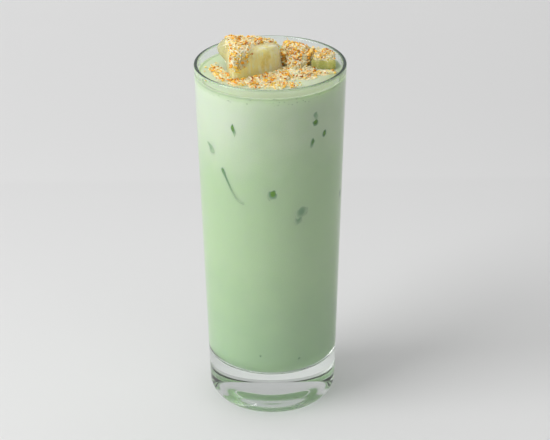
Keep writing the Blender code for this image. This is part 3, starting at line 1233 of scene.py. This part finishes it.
@dataclass(frozen=True)
class IceBlock:
    """A half-melted block: eight corners, with edges rounded and faces slightly uneven.

    A corner is x, y and the height above the drink in millimetres, in the order front left, front right,
    back right and back left.
    """

    node: str
    top: tuple[Corner, Corner, Corner, Corner]
    bottom: tuple[Corner, Corner, Corner, Corner]
    edge_radius: float
    finish: Callable[[float], IceFinish]
    bulge: bool = False
    detail: int = 4
    uneven: float = 0.4 * MM
    uneven_span: float = 7.0 * MM
    ripple: float = 0.12 * MM
    ripple_span: float = 2.1 * MM

    SIGNS = ((-1, -1), (1, -1), (1, 1), (-1, 1))
    BULGE = Vector((-4.6, -1.0, 0.0)) * MM
    BULGE_MIDDLE = Vector((-20.0, 9.5, 8.0)) * MM
    BULGE_REACH = 8.0 * MM

    def cage(self, level: float) -> bpy.types.Mesh:
        """The block's coarse cage, with each edge cut back once.

        Args:
            level: Height of the drink.

        Returns:
            The cage.
        """
        corners: dict[tuple[int, ...], Vector] = {}
        for side, up in ((self.top, 1), (self.bottom, -1)):
            for (x, y, above), (sx, sy) in zip(side, self.SIGNS, strict=True):
                corners[(sx, sy, up)] = Vector((x * MM, y * MM, level + above * MM))
        cage = bmesh.new()
        bmesh.ops.create_cube(cage, size=2.0)
        for vert in cage.verts:
            vert.co = corners[tuple(round(value) for value in vert.co)]
        edges = cage.edges[:]
        bmesh.ops.bevel(cage, geom=edges, offset=self.edge_radius, segments=1, profile=0.5, affect="EDGES")
        return as_mesh(cage, self.node)

    def core(self, level: float) -> bpy.types.Object:
        """The bare block of ice, smooth and slightly uneven, for a drink of this level.

        Args:
            level: Height of the drink.

        Returns:
            The block.
        """
        block = link(f"{self.node}_core", self.cage(level))
        smooth = block.modifiers.new("melt", "SUBSURF")
        smooth.levels = smooth.render_levels = self.detail
        block = baked(block)
        self.roughen(block, self.uneven, self.uneven_span)
        if self.bulge:
            middle = self.BULGE_MIDDLE - DOWN * level

            def bulged(place: Vector, _: Vector) -> Vector:
                """The place, moved out where it is near the bulge's middle."""
                return place + self.BULGE * (1 - ease((place - middle).length, 0, self.BULGE_REACH))

            move_points(block, bulged)
        self.roughen(block, self.ripple, self.ripple_span)
        block.data.shade_smooth()
        return block

    def roughen(self, block: bpy.types.Object, height: float, span: float) -> None:
        """Moves the block's surface in and out with lumps of a height and a size in metres."""
        move_points(block, lambda place, normal: place + normal * height * noise.noise(place / span))

    def build(self, core: bpy.types.Object, cover: "CoconutCover") -> None:
        """Lays a thin layer of coconut on the bare block and dresses it.

        Args:
            core: The bare block.
            cover: Where coconut lies on it.
        """
        store(core, "cover", lambda place, normal: cover.on_block(self.node, place, normal))
        for vert, share in zip(core.data.vertices, kept(core.data, "cover"), strict=True):
            vert.co = vert.co + vert.normal * cover.thickness(vert.co) * share
        dress(core, self.finish(cover.level).material(), "cloudy_ice", self.node)


def left_ice(level: float) -> IceFinish:
    """The large block: frosted at its right and pale at its left facet."""
    return IceFinish("ice_left", level, frost_from=0.5 * MM, pale_until=-18.5 * MM)


def back_ice(level: float) -> IceFinish:
    """The block that coconut hides."""
    return IceFinish("ice_back", level)


def right_ice(level: float) -> IceFinish:
    """The small block, greener than the others."""
    top, bottom, streak = paint(190, 184, 114), paint(172, 176, 98), paint(206, 202, 138)
    return IceFinish("ice_right", level, top=top, bottom=bottom, streak=streak)


ICE = (
    IceBlock(
        "ice_left",
        ((-16.4, -12.4, 12.6), (5.2, 3.2, 12.8), (1.8, 17.0, 8.6), (-20.4, 13.6, 14.0)),
        ((-16.8, -13.2, -13.0), (8.0, 3.0, -13.5), (3.4, 19.0, -14.0), (-19.6, 12.6, -12.5)),
        2.4 * MM,
        left_ice,
        bulge=True,
    ),
    IceBlock(
        "ice_back",
        ((7.4, 6.0, 6.2), (15.4, 6.4, 5.8), (17.6, 15.4, 6.6), (5.4, 23.4, 7.0)),
        ((8.8, -8.0, -7.0), (15.6, -7.5, -7.0), (16.8, 17.0, -11.0), (5.2, 23.0, -12.0)),
        1.5 * MM,
        back_ice,
    ),
    IceBlock(
        "ice_right",
        ((16.8, 4.0, 4.6), (29.0, 1.6, 3.8), (28.8, 10.4, 4.6), (19.6, 17.6, 5.6)),
        ((16.8, 2.0, -11.0), (27.6, 0.2, -11.0), (27.6, 10.4, -12.0), (19.6, 17.6, -11.0)),
        1.3 * MM,
        right_ice,
    ),
)


# ---------------------------------------------------------------- where coconut lies


@dataclass(frozen=True)
class Patch:
    """An oval mound of coconut on the drink: middle, half length and half width in mm, and turn."""

    x: float
    y: float
    half_length: float
    half_width: float
    turn: float

    def distance(self, place: Vector) -> float:
        """How far a place is from the middle, where 1 is the oval's edge."""
        away = Matrix.Rotation(-math.radians(self.turn), 2) @ (place.xy - Vector((self.x, self.y)) * MM)
        return math.hypot(away.x / (self.half_length * MM), away.y / (self.half_width * MM))


@dataclass(frozen=True)
class CoconutCover:
    """How much of each surface coconut hides, from 0 to 1, with ragged edges."""

    level: float
    patches: tuple[Patch, ...] = (
        Patch(-4.5, -13.5, 14.5, 4.8, -6.0),
        Patch(5.5, -6.0, 8.0, 5.0, 30.0),
        Patch(-22.0, -1.6, 8.6, 2.8, 104.0),
        Patch(13.6, -3.4, 7.6, 5.6, 12.0),
        Patch(23.6, -2.0, 5.2, 2.1, 20.0),
        Patch(-2.5, -6.2, 11.0, 3.6, 32.0),
        Patch(12.2, 2.4, 7.0, 5.6, 0.0),
    )
    layer: float = 0.9 * MM
    layer_span: float = 1.7 * MM
    layer_lumps: tuple[float, float] = (0.5, 0.5)
    ragged: float = 0.35
    ragged_span: float = 2.6 * MM
    finer: float = 2.4
    finer_share: float = 0.5
    top_facing: Step = (0.4, 0.7)
    back_facing: Step = (-0.35, 0.1)
    back_foot: Step = (1.2 * MM, 2.4 * MM)
    right_facing: Step = (0.8, 0.97)
    spill_middle: Vector = field(default_factory=lambda: Vector((-14.6, -10.0)) * MM)
    spill_edge: Step = (5.6 * MM, 8 * MM)
    spill_rise: Step = (4 * MM, 12 * MM)
    spill_narrows: float = 3.5 * MM
    spill_foot: Step = (4 * MM, 6 * MM)
    spill_facing: Step = (-0.3, 0.0)
    spill_ragged: tuple[float, float] = (8 * MM, 4 * MM)
    bare_edge: Step = (-19.4 * MM, -17.8 * MM)
    bare_middle: Vector = field(default_factory=lambda: Vector((2.5, -4.5)) * MM)
    bare_reach: Step = (10 * MM, 11 * MM)
    bare_ragged: tuple[float, float] = (1 * MM, 2 * MM)
    patch_edge: Step = (0.7, 1.3)
    patch_ragged: float = 1.4
    drink_depth: float = 0.2 * MM
    drink_facing: float = 0.2
    mound_height: float = 1.2 * MM
    mound_sunk: float = 0.3 * MM
    mound_lumps: tuple[float, float] = (0.6, 0.8)
    shreds_middle: Vector = field(default_factory=lambda: Vector((12.0, -1.0)) * MM)
    shreds_reach: Step = (4 * MM, 9 * MM)

    def uneven(self, place: Vector) -> float:
        """A ragged edge's noise, about -1 to 1."""
        fine_span = self.ragged_span / self.finer
        return noise.noise(place / self.ragged_span) + self.finer_share * noise.noise(place / fine_span)

    def thickness(self, place: Vector) -> float:
        """How thick the coconut is at a place where it hides the ice."""
        least, more = self.layer_lumps
        return self.layer * (least + more * noise.noise(place / self.layer_span))

    def on_block(self, node: str, place: Vector, normal: Vector) -> float:
        """The cover on one block of ice.

        Args:
            node: The block's solid.
            place: Where a point of it is.
            normal: The point's normal.

        Returns:
            The cover from 0 to 1.
        """
        above = place.z - self.level
        rough = self.ragged * self.uneven(place)
        if node == "ice_back":
            return ramp(normal.z + rough, *self.back_facing) * ramp(above, *self.back_foot)
        if node == "ice_right":
            return ramp(normal.z + rough, *self.right_facing)
        side_ragged, front_ragged = self.bare_ragged
        front = (place.xy - self.bare_middle).length + front_ragged * rough
        top = ramp(normal.z + rough, *self.top_facing) * ramp(front, *self.bare_reach)
        top *= ramp(place.x + side_ragged * rough, *self.bare_edge)
        return max(top, self.on_spill(place, normal, rough))

    def on_spill(self, place: Vector, normal: Vector, rough: float) -> float:
        """The cover that spills down the left block's front corner, narrower towards its foot.

        Args:
            place: Where a point of the block is.
            normal: The point's normal.
            rough: The ragged edge's noise there.

        Returns:
            The cover from 0 to 1.
        """
        above = place.z - self.level
        side_ragged, foot_ragged = self.spill_ragged
        narrower = self.spill_narrows * (1.0 - ramp(above, *self.spill_rise))
        away = (place.xy - self.spill_middle).length + side_ragged * rough + narrower
        near = 1.0 - ramp(away, *self.spill_edge)
        high = ramp(above + foot_ragged * rough, *self.spill_foot)
        return near * high * ramp(normal.z, *self.spill_facing)

    def on_drink(self, place: Vector, normal: Vector) -> float:
        """The cover on the drink.

        Args:
            place: Where a point of the drink is.
            normal: The point's normal.

        Returns:
            The cover from 0 to 1.
        """
        if place.z < self.level - self.drink_depth or normal.z < self.drink_facing:
            return 0.0
        nearest = min(patch.distance(place) for patch in self.patches)
        return 1.0 - ramp(nearest + self.patch_ragged * self.ragged * self.uneven(place), *self.patch_edge)

    def mound(self, place: Vector) -> float:
        """How high the coconut lifts the drink's surface at a place.

        Args:
            place: The place.

        Returns:
            The height in metres.
        """
        inside = max(1.0 - patch.distance(place) ** 2 for patch in self.patches)
        if inside <= 0:
            return 0.0
        least, more = self.mound_lumps
        bump = least + more * noise.noise(place / self.layer_span)
        return max(self.mound_height * bump * math.sqrt(inside) - self.mound_sunk, 0.0)

    def long_shreds(self, place: Vector) -> float:
        """Where the longest cream shreds lie: beside the small block and at the left block's right end."""
        return 1.0 - ease((place.xy - self.shreds_middle).length, *self.shreds_reach)


# ---------------------------------------------------------------- the drink


@dataclass(frozen=True)
class Drink:
    """The drink, from just inside the wall to its level, cut round the ice."""

    tumbler: Tumbler
    free_depth: float = 4.5 * MM
    into_wall: float = 0.05 * MM
    meniscus_height: float = 0.5 * MM
    meniscus_width: float = 1.6 * MM
    meniscus_steps: int = 6
    under_meniscus: float = 0.08 * MM
    ring_step: float = 0.45 * MM
    steps: int = 180
    wall_rings: int = 16
    froth: float = 0.07 * MM
    froth_span: float = 1.1 * MM
    calm_width: float = 0.6 * MM
    slack: float = 0.02 * MM
    ice_overlap: float = 0.08 * MM

    @property
    def level(self) -> float:
        """Height of the drink."""
        return self.tumbler.height - self.free_depth

    def radius(self, height: float) -> float:
        """The drink's radius at a height on the straight side."""
        return self.tumbler.inner_radius(height) + self.into_wall

    def profile(self) -> Profile:
        """The section: out over the level, up the meniscus and down the wall to the floor.

        Returns:
            Its points as (radius, height).
        """
        edge = self.radius(self.level)
        rings = int((edge - self.meniscus_width) / self.ring_step)
        top = [(self.ring_step * i, self.level) for i in range(rings + 1)]
        for i in range(1, self.meniscus_steps + 1):
            share = i / self.meniscus_steps
            radius = edge - self.meniscus_width * (1 - share)
            top.append((radius, self.level + self.meniscus_height * share**2))
        bottom = list(reversed(self.tumbler.floor_arc(self.into_wall)))
        start, end = self.contact, bottom[0][1]
        heights = [start + (end - start) * i / self.wall_rings for i in range(self.wall_rings)]
        side = [(self.radius(height), height) for height in heights]
        return [*top, *side, *bottom, (0.0, self.tumbler.floor_height - self.into_wall)]

    @property
    def contact(self) -> float:
        """The height below which the drink's side touches the glass."""
        return self.level + self.meniscus_height - self.under_meniscus

    def walled(self, place: Vector) -> float:
        """1 where the drink touches the glass, else 0."""
        at_side = place.xy.length > self.radius(place.z) - self.slack
        return float(place.z < self.contact + self.slack and (at_side or place.z < self.level / 2))

    def build(self, cover: CoconutCover, blocks: Sequence[bpy.types.Object]) -> bpy.types.Object:
        """Makes the drink.

        Args:
            cover: Where coconut lies on it.
            blocks: The ice that it is cut round.

        Returns:
            The drink.
        """
        drink = lathe("drink_body", self.profile(), self.steps)
        calm = self.radius(self.level) - self.calm_width

        def lifted(place: Vector, _: Vector) -> Vector:
            """The surface with its froth and the coconut's mounds.

            Args:
                place: Where a point is.

            Returns:
                Where it goes.
            """
            if place.z < self.level - self.slack or place.xy.length > calm:
                return place
            froth = self.froth * noise.noise(place / self.froth_span)
            return place - DOWN * (froth + cover.mound(place))

        move_points(drink, lifted)
        drink = self._cut_round(drink, blocks)
        store(drink, "cover", cover.on_drink)
        store(drink, "walled", lambda place, _: self.walled(place))
        drink.data.shade_smooth()
        dress(drink, DrinkFinish(self.level).material(), "pandan_drink", "drink")
        return drink

    def _cut_round(self, drink: bpy.types.Object, blocks: Sequence[bpy.types.Object]) -> bpy.types.Object:
        """The drink, cut round the ice, which reaches just into it.

        Args:
            drink: The whole drink.
            blocks: The ice.

        Returns:
            The drink with its pockets.
        """
        cutters = collection("pockets")
        for block in blocks:
            cutter = bpy.data.objects.new(f"{block.name}_pocket", block.data.copy())
            cutters.objects.link(cutter)
            move_points(cutter, lambda place, normal: place - normal * self.ice_overlap)
        cut = drink.modifiers.new("pockets", "BOOLEAN")
        cut.operation = "DIFFERENCE"
        cut.operand_type = "COLLECTION"
        cut.collection = cutters
        cut.solver = "MANIFOLD"
        drink = baked(drink)
        discard(cutters)
        return drink


# ---------------------------------------------------------------- coconut


@dataclass(frozen=True)
class Bit:
    """One larger browned bit: place in mm, length in mm, and tone from golden at 0 to dark at 1.

    Without a height above the drink it lies on what is below it.
    """

    x: float
    y: float
    length: float
    tone: float
    height: float | None = None


@dataclass(frozen=True)
class Crevice:
    """A gap between two blocks that bits fill: its spans along Y and up, its X as a line over Y, in mm."""

    depth: tuple[float, float]
    height: tuple[float, float]
    start: float
    slope: float
    count: int


class Coconut:
    """The toasted coconut on the ice and on the drink, one piece for each kind."""

    KINDS = (
        (
            Shape.GRAIN,
            Strewing("coconut_grains", "cover", 3.2e6, 0.4 * MM, 0.95 * MM, 3),
            ((0.0, COCONUT.beige), (0.2, COCONUT.cream), (0.75, COCONUT.cream), (1.0, COCONUT.golden)),
        ),
        (
            Shape.SHRED,
            Strewing("coconut_shreds", "shreds", 1.0e6, 1.5 * MM, 4.2 * MM, 7, rise=(0.1 * MM, 0.7 * MM)),
            ((0.0, COCONUT.wet), (0.3, COCONUT.cream), (0.75, COCONUT.cream), (1.0, COCONUT.golden)),
        ),
        (
            Shape.GRAIN,
            Strewing("coconut_toasted", "toast", 6.0e5, 0.6 * MM, 1.6 * MM, 13, rise=(0.15 * MM, 0.7 * MM)),
            ((0.0, COCONUT.golden), (0.45, COCONUT.golden), (0.8, COCONUT.orange), (1.0, COCONUT.brown)),
        ),
        (
            Shape.FLAKE,
            Strewing("coconut_browned", "toast", 1.2e5, 0.8 * MM, 2.0 * MM, 19, rise=(0.3 * MM, 0.8 * MM)),
            ((0.0, COCONUT.orange), (0.6, COCONUT.orange), (1.0, COCONUT.brown)),
        ),
    )
    BIT_STOPS = ((0.0, COCONUT.beige), (0.15, COCONUT.golden), (0.45, COCONUT.orange), (1.0, COCONUT.brown))
    LONE_BITS = (
        Bit(-16.6, 8.1, 3.0, 0.35),
        Bit(-8.6, 7.9, 1.8, 0.9),
        Bit(-1.7, 9.3, 1.8, 0.8),
        Bit(-23.8, 0.3, 1.8, 1.0),
        Bit(5.2, 7.4, 2.4, 0.5),
        Bit(12.5, 5.3, 2.6, 0.45),
        Bit(20.0, 9.9, 2.6, 0.35),
        Bit(27.1, -0.1, 1.4, 0.7),
        Bit(-28.0, 5.1, 1.2, 0.1),
        Bit(-28.3, 0.4, 0.9, 0.1),
        Bit(-23.5, 9.8, 1.3, 0.2),
        Bit(8.8, -18.9, 1.3, 0.3),
    )
    CREVICES = (
        Crevice((4.5, 12.5), (1.5, 7.0), 6.95, -0.165, 54),
        Crevice((4.5, 14.0), (1.0, 5.8), 15.4, 0.235, 64),
    )
    WEDGED_LENGTH = (1.1, 1.9)
    WEDGED_TONE = (-0.2, 0.55)
    WEDGED_SPREAD = 0.5
    UNDER_TOP = 0.02 * MM
    LEAST_COVER = 0.02
    SHREDS = (0.45, 1.6)
    TOASTED = (0.25, 1.5)
    CLUMP_SPAN = 4.5 * MM
    CLUMP_EDGE = (-0.2, 0.4)
    BIT_RISE = 0.35 * MM
    BIT_LEAN = 0.3
    BIT_SEED = 41

    def __init__(self, cover: CoconutCover, surfaces: Sequence[bpy.types.Object]) -> None:
        """Joins what shows of the surfaces that hold coconut into one ground.

        Args:
            cover: Where coconut lies.
            surfaces: The drink and the ice.
        """
        self.cover = cover
        self.highest = CAD_BOX[1][2] - self.UNDER_TOP
        self.ground = self._ground(surfaces)

    def _ground(self, surfaces: Sequence[bpy.types.Object]) -> bpy.types.Object:
        """One mesh of every covered face.

        Args:
            surfaces: The drink and the ice.

        Returns:
            The ground, with how thickly shreds and toasted crumbs lie.
        """
        joined = bmesh.new()
        for surface in surfaces:
            joined.from_mesh(surface.data)
        layer = joined.verts.layers.float["cover"]
        bare = [face for face in joined.faces if max(vert[layer] for vert in face.verts) < self.LEAST_COVER]
        bmesh.ops.delete(joined, geom=bare, context="FACES")
        mesh = as_mesh(joined, "ground")
        cover = kept(mesh, "cover")
        for name, (least, more), gathered in (
            ("shreds", self.SHREDS, self.cover.long_shreds),
            ("toast", self.TOASTED, self.clump),
        ):
            extra = [least + more * gathered(vert.co) for vert in mesh.vertices]
            keep(mesh, name, [share * factor for share, factor in zip(cover, extra, strict=True)])
        return link("ground", mesh)

    def clump(self, place: Vector) -> float:
        """How far the toasted crumbs gather at a place, from 0 to 1."""
        return ramp(noise.noise(place / self.CLUMP_SPAN), *self.CLUMP_EDGE)

    def wedged_bits(self, rng: random.Random) -> list[Bit]:
        """Bits that fill the crevices between the blocks.

        Args:
            rng: The source of random draws.

        Returns:
            The bits.
        """
        bits = []
        for crevice in self.CREVICES:
            for _ in range(crevice.count):
                y, height = rng.uniform(*crevice.depth), rng.uniform(*crevice.height)
                spread = rng.uniform(-self.WEDGED_SPREAD, self.WEDGED_SPREAD)
                x = crevice.start + crevice.slope * y + spread
                length, tone = rng.uniform(*self.WEDGED_LENGTH), rng.uniform(*self.WEDGED_TONE)
                bits.append(Bit(x, y, length, tone, height))
        return bits

    def lone_bits(self, tree: BVHTree) -> bpy.types.Object:
        """The larger bits, laid on what is below them or wedged between the blocks.

        Args:
            tree: Search tree over the ice and the drink.

        Returns:
            All of them as one object.
        """
        rng = random.Random(self.BIT_SEED)
        joined = bmesh.new()
        tones: list[float] = []
        for bit in (*self.LONE_BITS, *self.wedged_bits(rng)):
            shape = ShapeSet(Shape.FLAKE).flake(rng)
            hit = tree.ray_cast(Vector((bit.x * MM, bit.y * MM, 1.0)), DOWN)[0]
            if bit.height is not None:
                hit.z = self.cover.level + bit.height * MM
            leans = [rng.uniform(-self.BIT_LEAN, self.BIT_LEAN) for _ in "XY"]
            turn = Euler((*leans, rng.uniform(0, math.tau))).to_matrix().to_4x4()
            place = Matrix.Translation(hit - DOWN * self.BIT_RISE)
            size = Matrix.Scale(bit.length * MM, 4)
            bmesh.ops.transform(shape, matrix=place @ turn @ size, verts=shape.verts)
            bmesh.ops.recalc_face_normals(shape, faces=shape.faces)
            tones += [bit.tone] * join(joined, shape)
        mesh = as_mesh(joined, "coconut_bits")
        keep(mesh, "tone", tones)
        return link("coconut_bits", mesh)

    def build(self, strewer: StrewTree, tree: BVHTree) -> None:
        """Strews every kind and lays the larger bits.

        Args:
            strewer: The Geometry Nodes that strew.
            tree: Search tree over the ice and the drink.
        """
        for form, how, stops in self.KINDS:
            finish = CoconutFinish(how.name, stops).material()
            pieces = strewer.strew(self.ground, ShapeSet(form, seed=how.seed), finish, how)
            press_under(pieces, self.highest)
            dress(pieces, finish, "toasted_coconut")
        bits = self.lone_bits(tree)
        press_under(bits, self.highest)
        dress(bits, CoconutFinish("coconut_bits", self.BIT_STOPS).material(), "toasted_coconut")
        bpy.data.objects.remove(self.ground)


# ---------------------------------------------------------------- leaf and bubbles


@dataclass(frozen=True)
class Speck:
    """A bit of leaf at the wall: where it is, its half sizes in mm, its tilt, and how veiled it is.

    The angle is in degrees round the glass from the front, positive to the right.
    """

    angle: float
    height: float
    half_length: float
    half_width: float
    tilt: float = 0.0
    veil: float = 0.0


@dataclass(frozen=True)
class Leaf:
    """The specks and the thread of pandan leaf that show at the wall."""

    drink: Drink
    specks: tuple[Speck, ...] = (
        Speck(-31.0, 142.4, 3.8, 1.25, -14.0, 0.0),
        Speck(37.0, 143.8, 2.2, 1.9, 0.0, 0.0),
        Speck(36.6, 147.4, 2.4, 1.8, 0.0, 0.6),
        Speck(46.6, 137.2, 2.6, 1.4, 12.0, 0.05),
        Speck(34.8, 135.0, 3.0, 1.2, 16.0, 0.2),
        Speck(-55.6, 129.9, 3.4, 1.8, -30.0, 0.62),
        Speck(-41.3, 120.4, 2.8, 1.2, -24.0, 0.1),
        Speck(1.5, 112.9, 3.2, 2.5, 10.0, 0.05),
        Speck(25.4, 103.0, 3.6, 2.7, 24.0, 0.5),
        Speck(23.0, 99.8, 3.6, 1.9, 12.0, 0.55),
        Speck(77.6, 102.4, 3.0, 1.8, 5.0, 0.5),
        Speck(-10.8, 32.2, 0.9, 0.9, 0.0, 0.5),
        Speck(25.0, 29.8, 1.2, 0.9, 40.0, 0.5),
    )
    thread: tuple[tuple[float, float], ...] = (
        (-41.7, 121.0),
        (-37.9, 116.8),
        (-33.4, 111.7),
        (-28.0, 107.5),
        (-22.5, 107.3),
    )
    sunk: float = 0.22 * MM
    thickness: float = 0.3 * MM
    fade: Step = (0.3, 0.95)
    ragged: float = 0.35
    lumps: float = 1.4
    thread_radius: float = 0.58 * MM
    thread_sunk: float = 0.2 * MM
    thread_veil: tuple[float, float] = (0.35, 1.2)

    def at_wall(self, angle: float, height: float, depth: float) -> Vector:
        """A place at the wall.

        Args:
            angle: Degrees round from the front.
            height: Height in mm.
            depth: How deep it lies in the drink, in metres.

        Returns:
            The place.
        """
        turn, z = math.radians(angle), height * MM
        radius = self.drink.radius(z) - depth
        return Vector((radius * math.sin(turn), -radius * math.cos(turn), z))

    def speck_shape(self, speck: Speck) -> tuple[bmesh.types.BMesh, list[float]]:
        """One irregular bit of leaf, flat against the wall, and how veiled each of its points is.

        Args:
            speck: Its place, size and veil.

        Returns:
            The bit and its points' veils.
        """
        shape = bmesh.new()
        bmesh.ops.create_icosphere(shape, subdivisions=3, radius=1.0)
        shift = Vector((speck.angle, speck.height, 0.0))
        for vert in shape.verts:
            vert.co *= 1.0 + self.ragged * noise.noise(vert.co * self.lumps + shift)
        away = [math.hypot(vert.co.x, vert.co.z) for vert in shape.verts]
        veils = [speck.veil + (1 - speck.veil) * ramp(share, *self.fade) for share in away]
        size = Vector((speck.half_width * MM, self.thickness, speck.half_length * MM))
        bmesh.ops.scale(shape, verts=shape.verts, vec=size)
        tilt = Matrix.Rotation(math.radians(speck.tilt), 4, "Y")
        turn = Matrix.Rotation(math.radians(speck.angle), 4, "Z")
        place = Matrix.Translation(self.at_wall(speck.angle, speck.height, self.sunk))
        bmesh.ops.transform(shape, matrix=place @ turn @ tilt, verts=shape.verts)
        return shape, veils

    def thread_object(self) -> bpy.types.Object:
        """The thin thread, as a tube along the wall that fades to the right.

        Returns:
            The thread.
        """
        curve = bpy.data.curves.new("leaf_thread", "CURVE")
        curve.dimensions = "3D"
        curve.bevel_depth = self.thread_radius
        curve.bevel_resolution = 2
        curve.use_fill_caps = True
        spline = curve.splines.new("NURBS")
        spline.points.add(len(self.thread) - 1)
        for point, (angle, height) in zip(spline.points, self.thread, strict=True):
            point.co = (*self.at_wall(angle, height, self.thread_sunk), 1.0)
        spline.use_endpoint_u = True
        spline.order_u = 4
        obj = baked(link("leaf_thread", curve))
        start, end = self.thread[0][0], self.thread[-1][0]
        least, most = self.thread_veil

        def veil(place: Vector, _: Vector) -> float:
            """Deeper in the drink towards the thread's right end."""
            angle = math.degrees(math.atan2(place.x, -place.y))
            return least + (most - least) * ramp(angle, start, end)

        store(obj, "veil", veil)
        return obj

    def build(self) -> None:
        """Makes the specks and the thread as one piece each."""
        finish = SpeckFinish().material()
        joined = bmesh.new()
        veils: list[float] = []
        for speck in self.specks:
            shape, veiled = self.speck_shape(speck)
            veils += veiled
            join(joined, shape)
        mesh = as_mesh(joined, "leaf_specks")
        mesh.shade_smooth()
        keep(mesh, "veil", veils)
        dress(link("leaf_specks", mesh), finish, "pandan_drink")
        dress(self.thread_object(), finish, "pandan_drink")


@dataclass(frozen=True)
class Bubbles:
    """Bubbles where the drink meets the wall."""

    drink: Drink
    band: tuple[float, float] = (-3.2 * MM, 0.4 * MM)
    steps: int = 96
    least: float = 0.06
    clump: float = 6 * MM
    clumped: Step = (0.0, 0.7)
    how: Strewing = Strewing(
        "bubbles", "cover", 6.0e5, 0.22 * MM, 0.5 * MM, 23, lean=0.0, rise=(-0.12 * MM, 0.0)
    )

    def density(self, place: Vector, _: Vector) -> float:
        """How thickly bubbles lie at a place, in loose clumps."""
        return self.least + ramp(noise.noise(place / self.clump), *self.clumped)

    def build(self, strewer: StrewTree) -> None:
        """Strews the bubbles over a band at the wall.

        Args:
            strewer: The Geometry Nodes that strew.
        """
        band = bmesh.new()
        heights = [self.drink.level + above for above in self.band]
        low, high = (ring(band, self.drink.radius(z), z, self.steps) for z in heights)
        for i in range(self.steps):
            j = (i + 1) % self.steps
            band.faces.new((low[i], low[j], high[j], high[i]))
        ground = link("band", as_mesh(band, "band"))
        store(ground, "cover", self.density)
        finish = BubbleFinish().material()
        bubbles = strewer.strew(ground, ShapeSet(Shape.BUBBLE, count=1), finish, self.how)
        dress(bubbles, finish, "pandan_drink")
        bpy.data.objects.remove(ground)


# ---------------------------------------------------------------- studio


@dataclass(frozen=True)
class Lamp:
    """A soft square lamp: direction as degrees from the front and above the table, and its strength."""

    name: str
    angle: float
    elevation: float
    distance: float
    size: float
    power: float


@dataclass(frozen=True)
class Studio:
    """The pale table, the soft lamps, the dim room and the camera."""

    lamps: tuple[Lamp, ...] = (
        Lamp("key", -64.0, 37.0, 1.6, 1.0, 16.0),
        Lamp("top", 0.0, 84.0, 1.3, 1.5, 8.0),
    )
    room_depth: Step = (-0.2, 0.7, 0.16, 0.48)
    room_left: Step = (-0.5, -0.95, 0.0, 0.6)
    aim: Vector = field(default_factory=lambda: Vector((0.0, 0.0, 80.0)) * MM)
    table: float = 6.0
    under_glass: float = 0.02 * MM
    eye: Vector = field(default_factory=lambda: Vector((0.0, -873.691, 503.415)) * MM)
    forward: Vector = field(default_factory=lambda: Vector((0.00168467, 0.90229575, -0.43111431)))
    right: Vector = field(default_factory=lambda: Vector((0.99996935, -0.00481657, -0.00617319)))
    focal_length: float = 142.2
    sensor: float = 36.0
    sight: tuple[float, float] = (0.05, 20.0)

    def floor(self) -> None:
        """The table."""
        shape = bmesh.new()
        bmesh.ops.create_grid(shape, x_segments=1, y_segments=1, size=self.table / 2)
        bmesh.ops.translate(shape, verts=shape.verts, vec=DOWN * self.under_glass)
        table = link("table", as_mesh(shape, "table"))
        table.data.materials.append(FloorFinish().material())

    def light(self) -> None:
        """The lamps."""
        for lamp in self.lamps:
            data = bpy.data.lights.new(lamp.name, "AREA")
            data.shape = "SQUARE"
            data.size = lamp.size
            data.energy = lamp.power
            turn, up = math.radians(lamp.angle), math.radians(lamp.elevation)
            away = Vector((math.sin(turn) * math.cos(up), -math.cos(turn) * math.cos(up), math.sin(up)))
            obj = link(lamp.name, data)
            obj.location = self.aim + away * lamp.distance
            obj.rotation_euler = away.to_track_quat("Z", "Y").to_euler()

    def room(self) -> None:
        """A room that is bright behind the table and at its left, and dim in front of it."""
        world = bpy.data.worlds.new("room")
        world.use_nodes = True
        tree = NodeMaker(world.node_tree)
        direction = tree.add("ShaderNodeTexCoord").outputs["Generated"]
        split = tree.add("ShaderNodeSeparateXYZ", {0: direction}).outputs
        glow = tree.remap(split["Y"], *self.room_depth)
        window = tree.remap(split["X"], *self.room_left)
        background = world.node_tree.nodes["Background"].inputs
        background["Color"].default_value = WHITE
        tree.tree.links.new(tree.math("ADD", glow, window), background["Strength"])
        bpy.context.scene.world = world

    def camera(self) -> None:
        """The camera, level with the horizon but for a slight roll."""
        data = bpy.data.cameras.new("camera")
        data.sensor_width = self.sensor
        data.lens = self.focal_length
        data.clip_start, data.clip_end = self.sight
        camera = link("camera", data)
        up = self.right.cross(self.forward)
        turn = Matrix((self.right, up, -self.forward)).transposed()
        camera.matrix_world = Matrix.Translation(self.eye) @ turn.to_4x4()
        bpy.context.scene.camera = camera

    def build(self) -> None:
        """Sets the studio up."""
        self.floor()
        self.light()
        self.room()
        self.camera()
        bpy.context.scene.view_settings.view_transform = "Standard"


# ---------------------------------------------------------------- all of it


def search_tree(objects: Sequence[bpy.types.Object]) -> BVHTree:
    """A search tree over several objects' meshes.

    Args:
        objects: The objects, none of them moved.

    Returns:
        The search tree.
    """
    joined = bmesh.new()
    for obj in objects:
        joined.from_mesh(obj.data)
    tree = BVHTree.FromBMesh(joined)
    joined.free()
    return tree


def main() -> None:
    """Builds every class in order and reports each piece."""
    logging.basicConfig(level=logging.INFO, format="%(name)s: %(message)s")
    tumbler = Tumbler.from_frame()
    tumbler.build()
    drink = Drink(tumbler)
    cover = CoconutCover(drink.level)

    cores = [block.core(drink.level) for block in ICE]
    surfaces = [drink.build(cover, cores), *cores]
    for block, core in zip(ICE, cores, strict=True):
        block.build(core, cover)

    strewer = StrewTree()
    Coconut(cover, surfaces).build(strewer, search_tree(surfaces))
    Leaf(drink).build()
    Bubbles(drink).build(strewer)
    Studio().build()


if __name__ == "__main__":
    main()
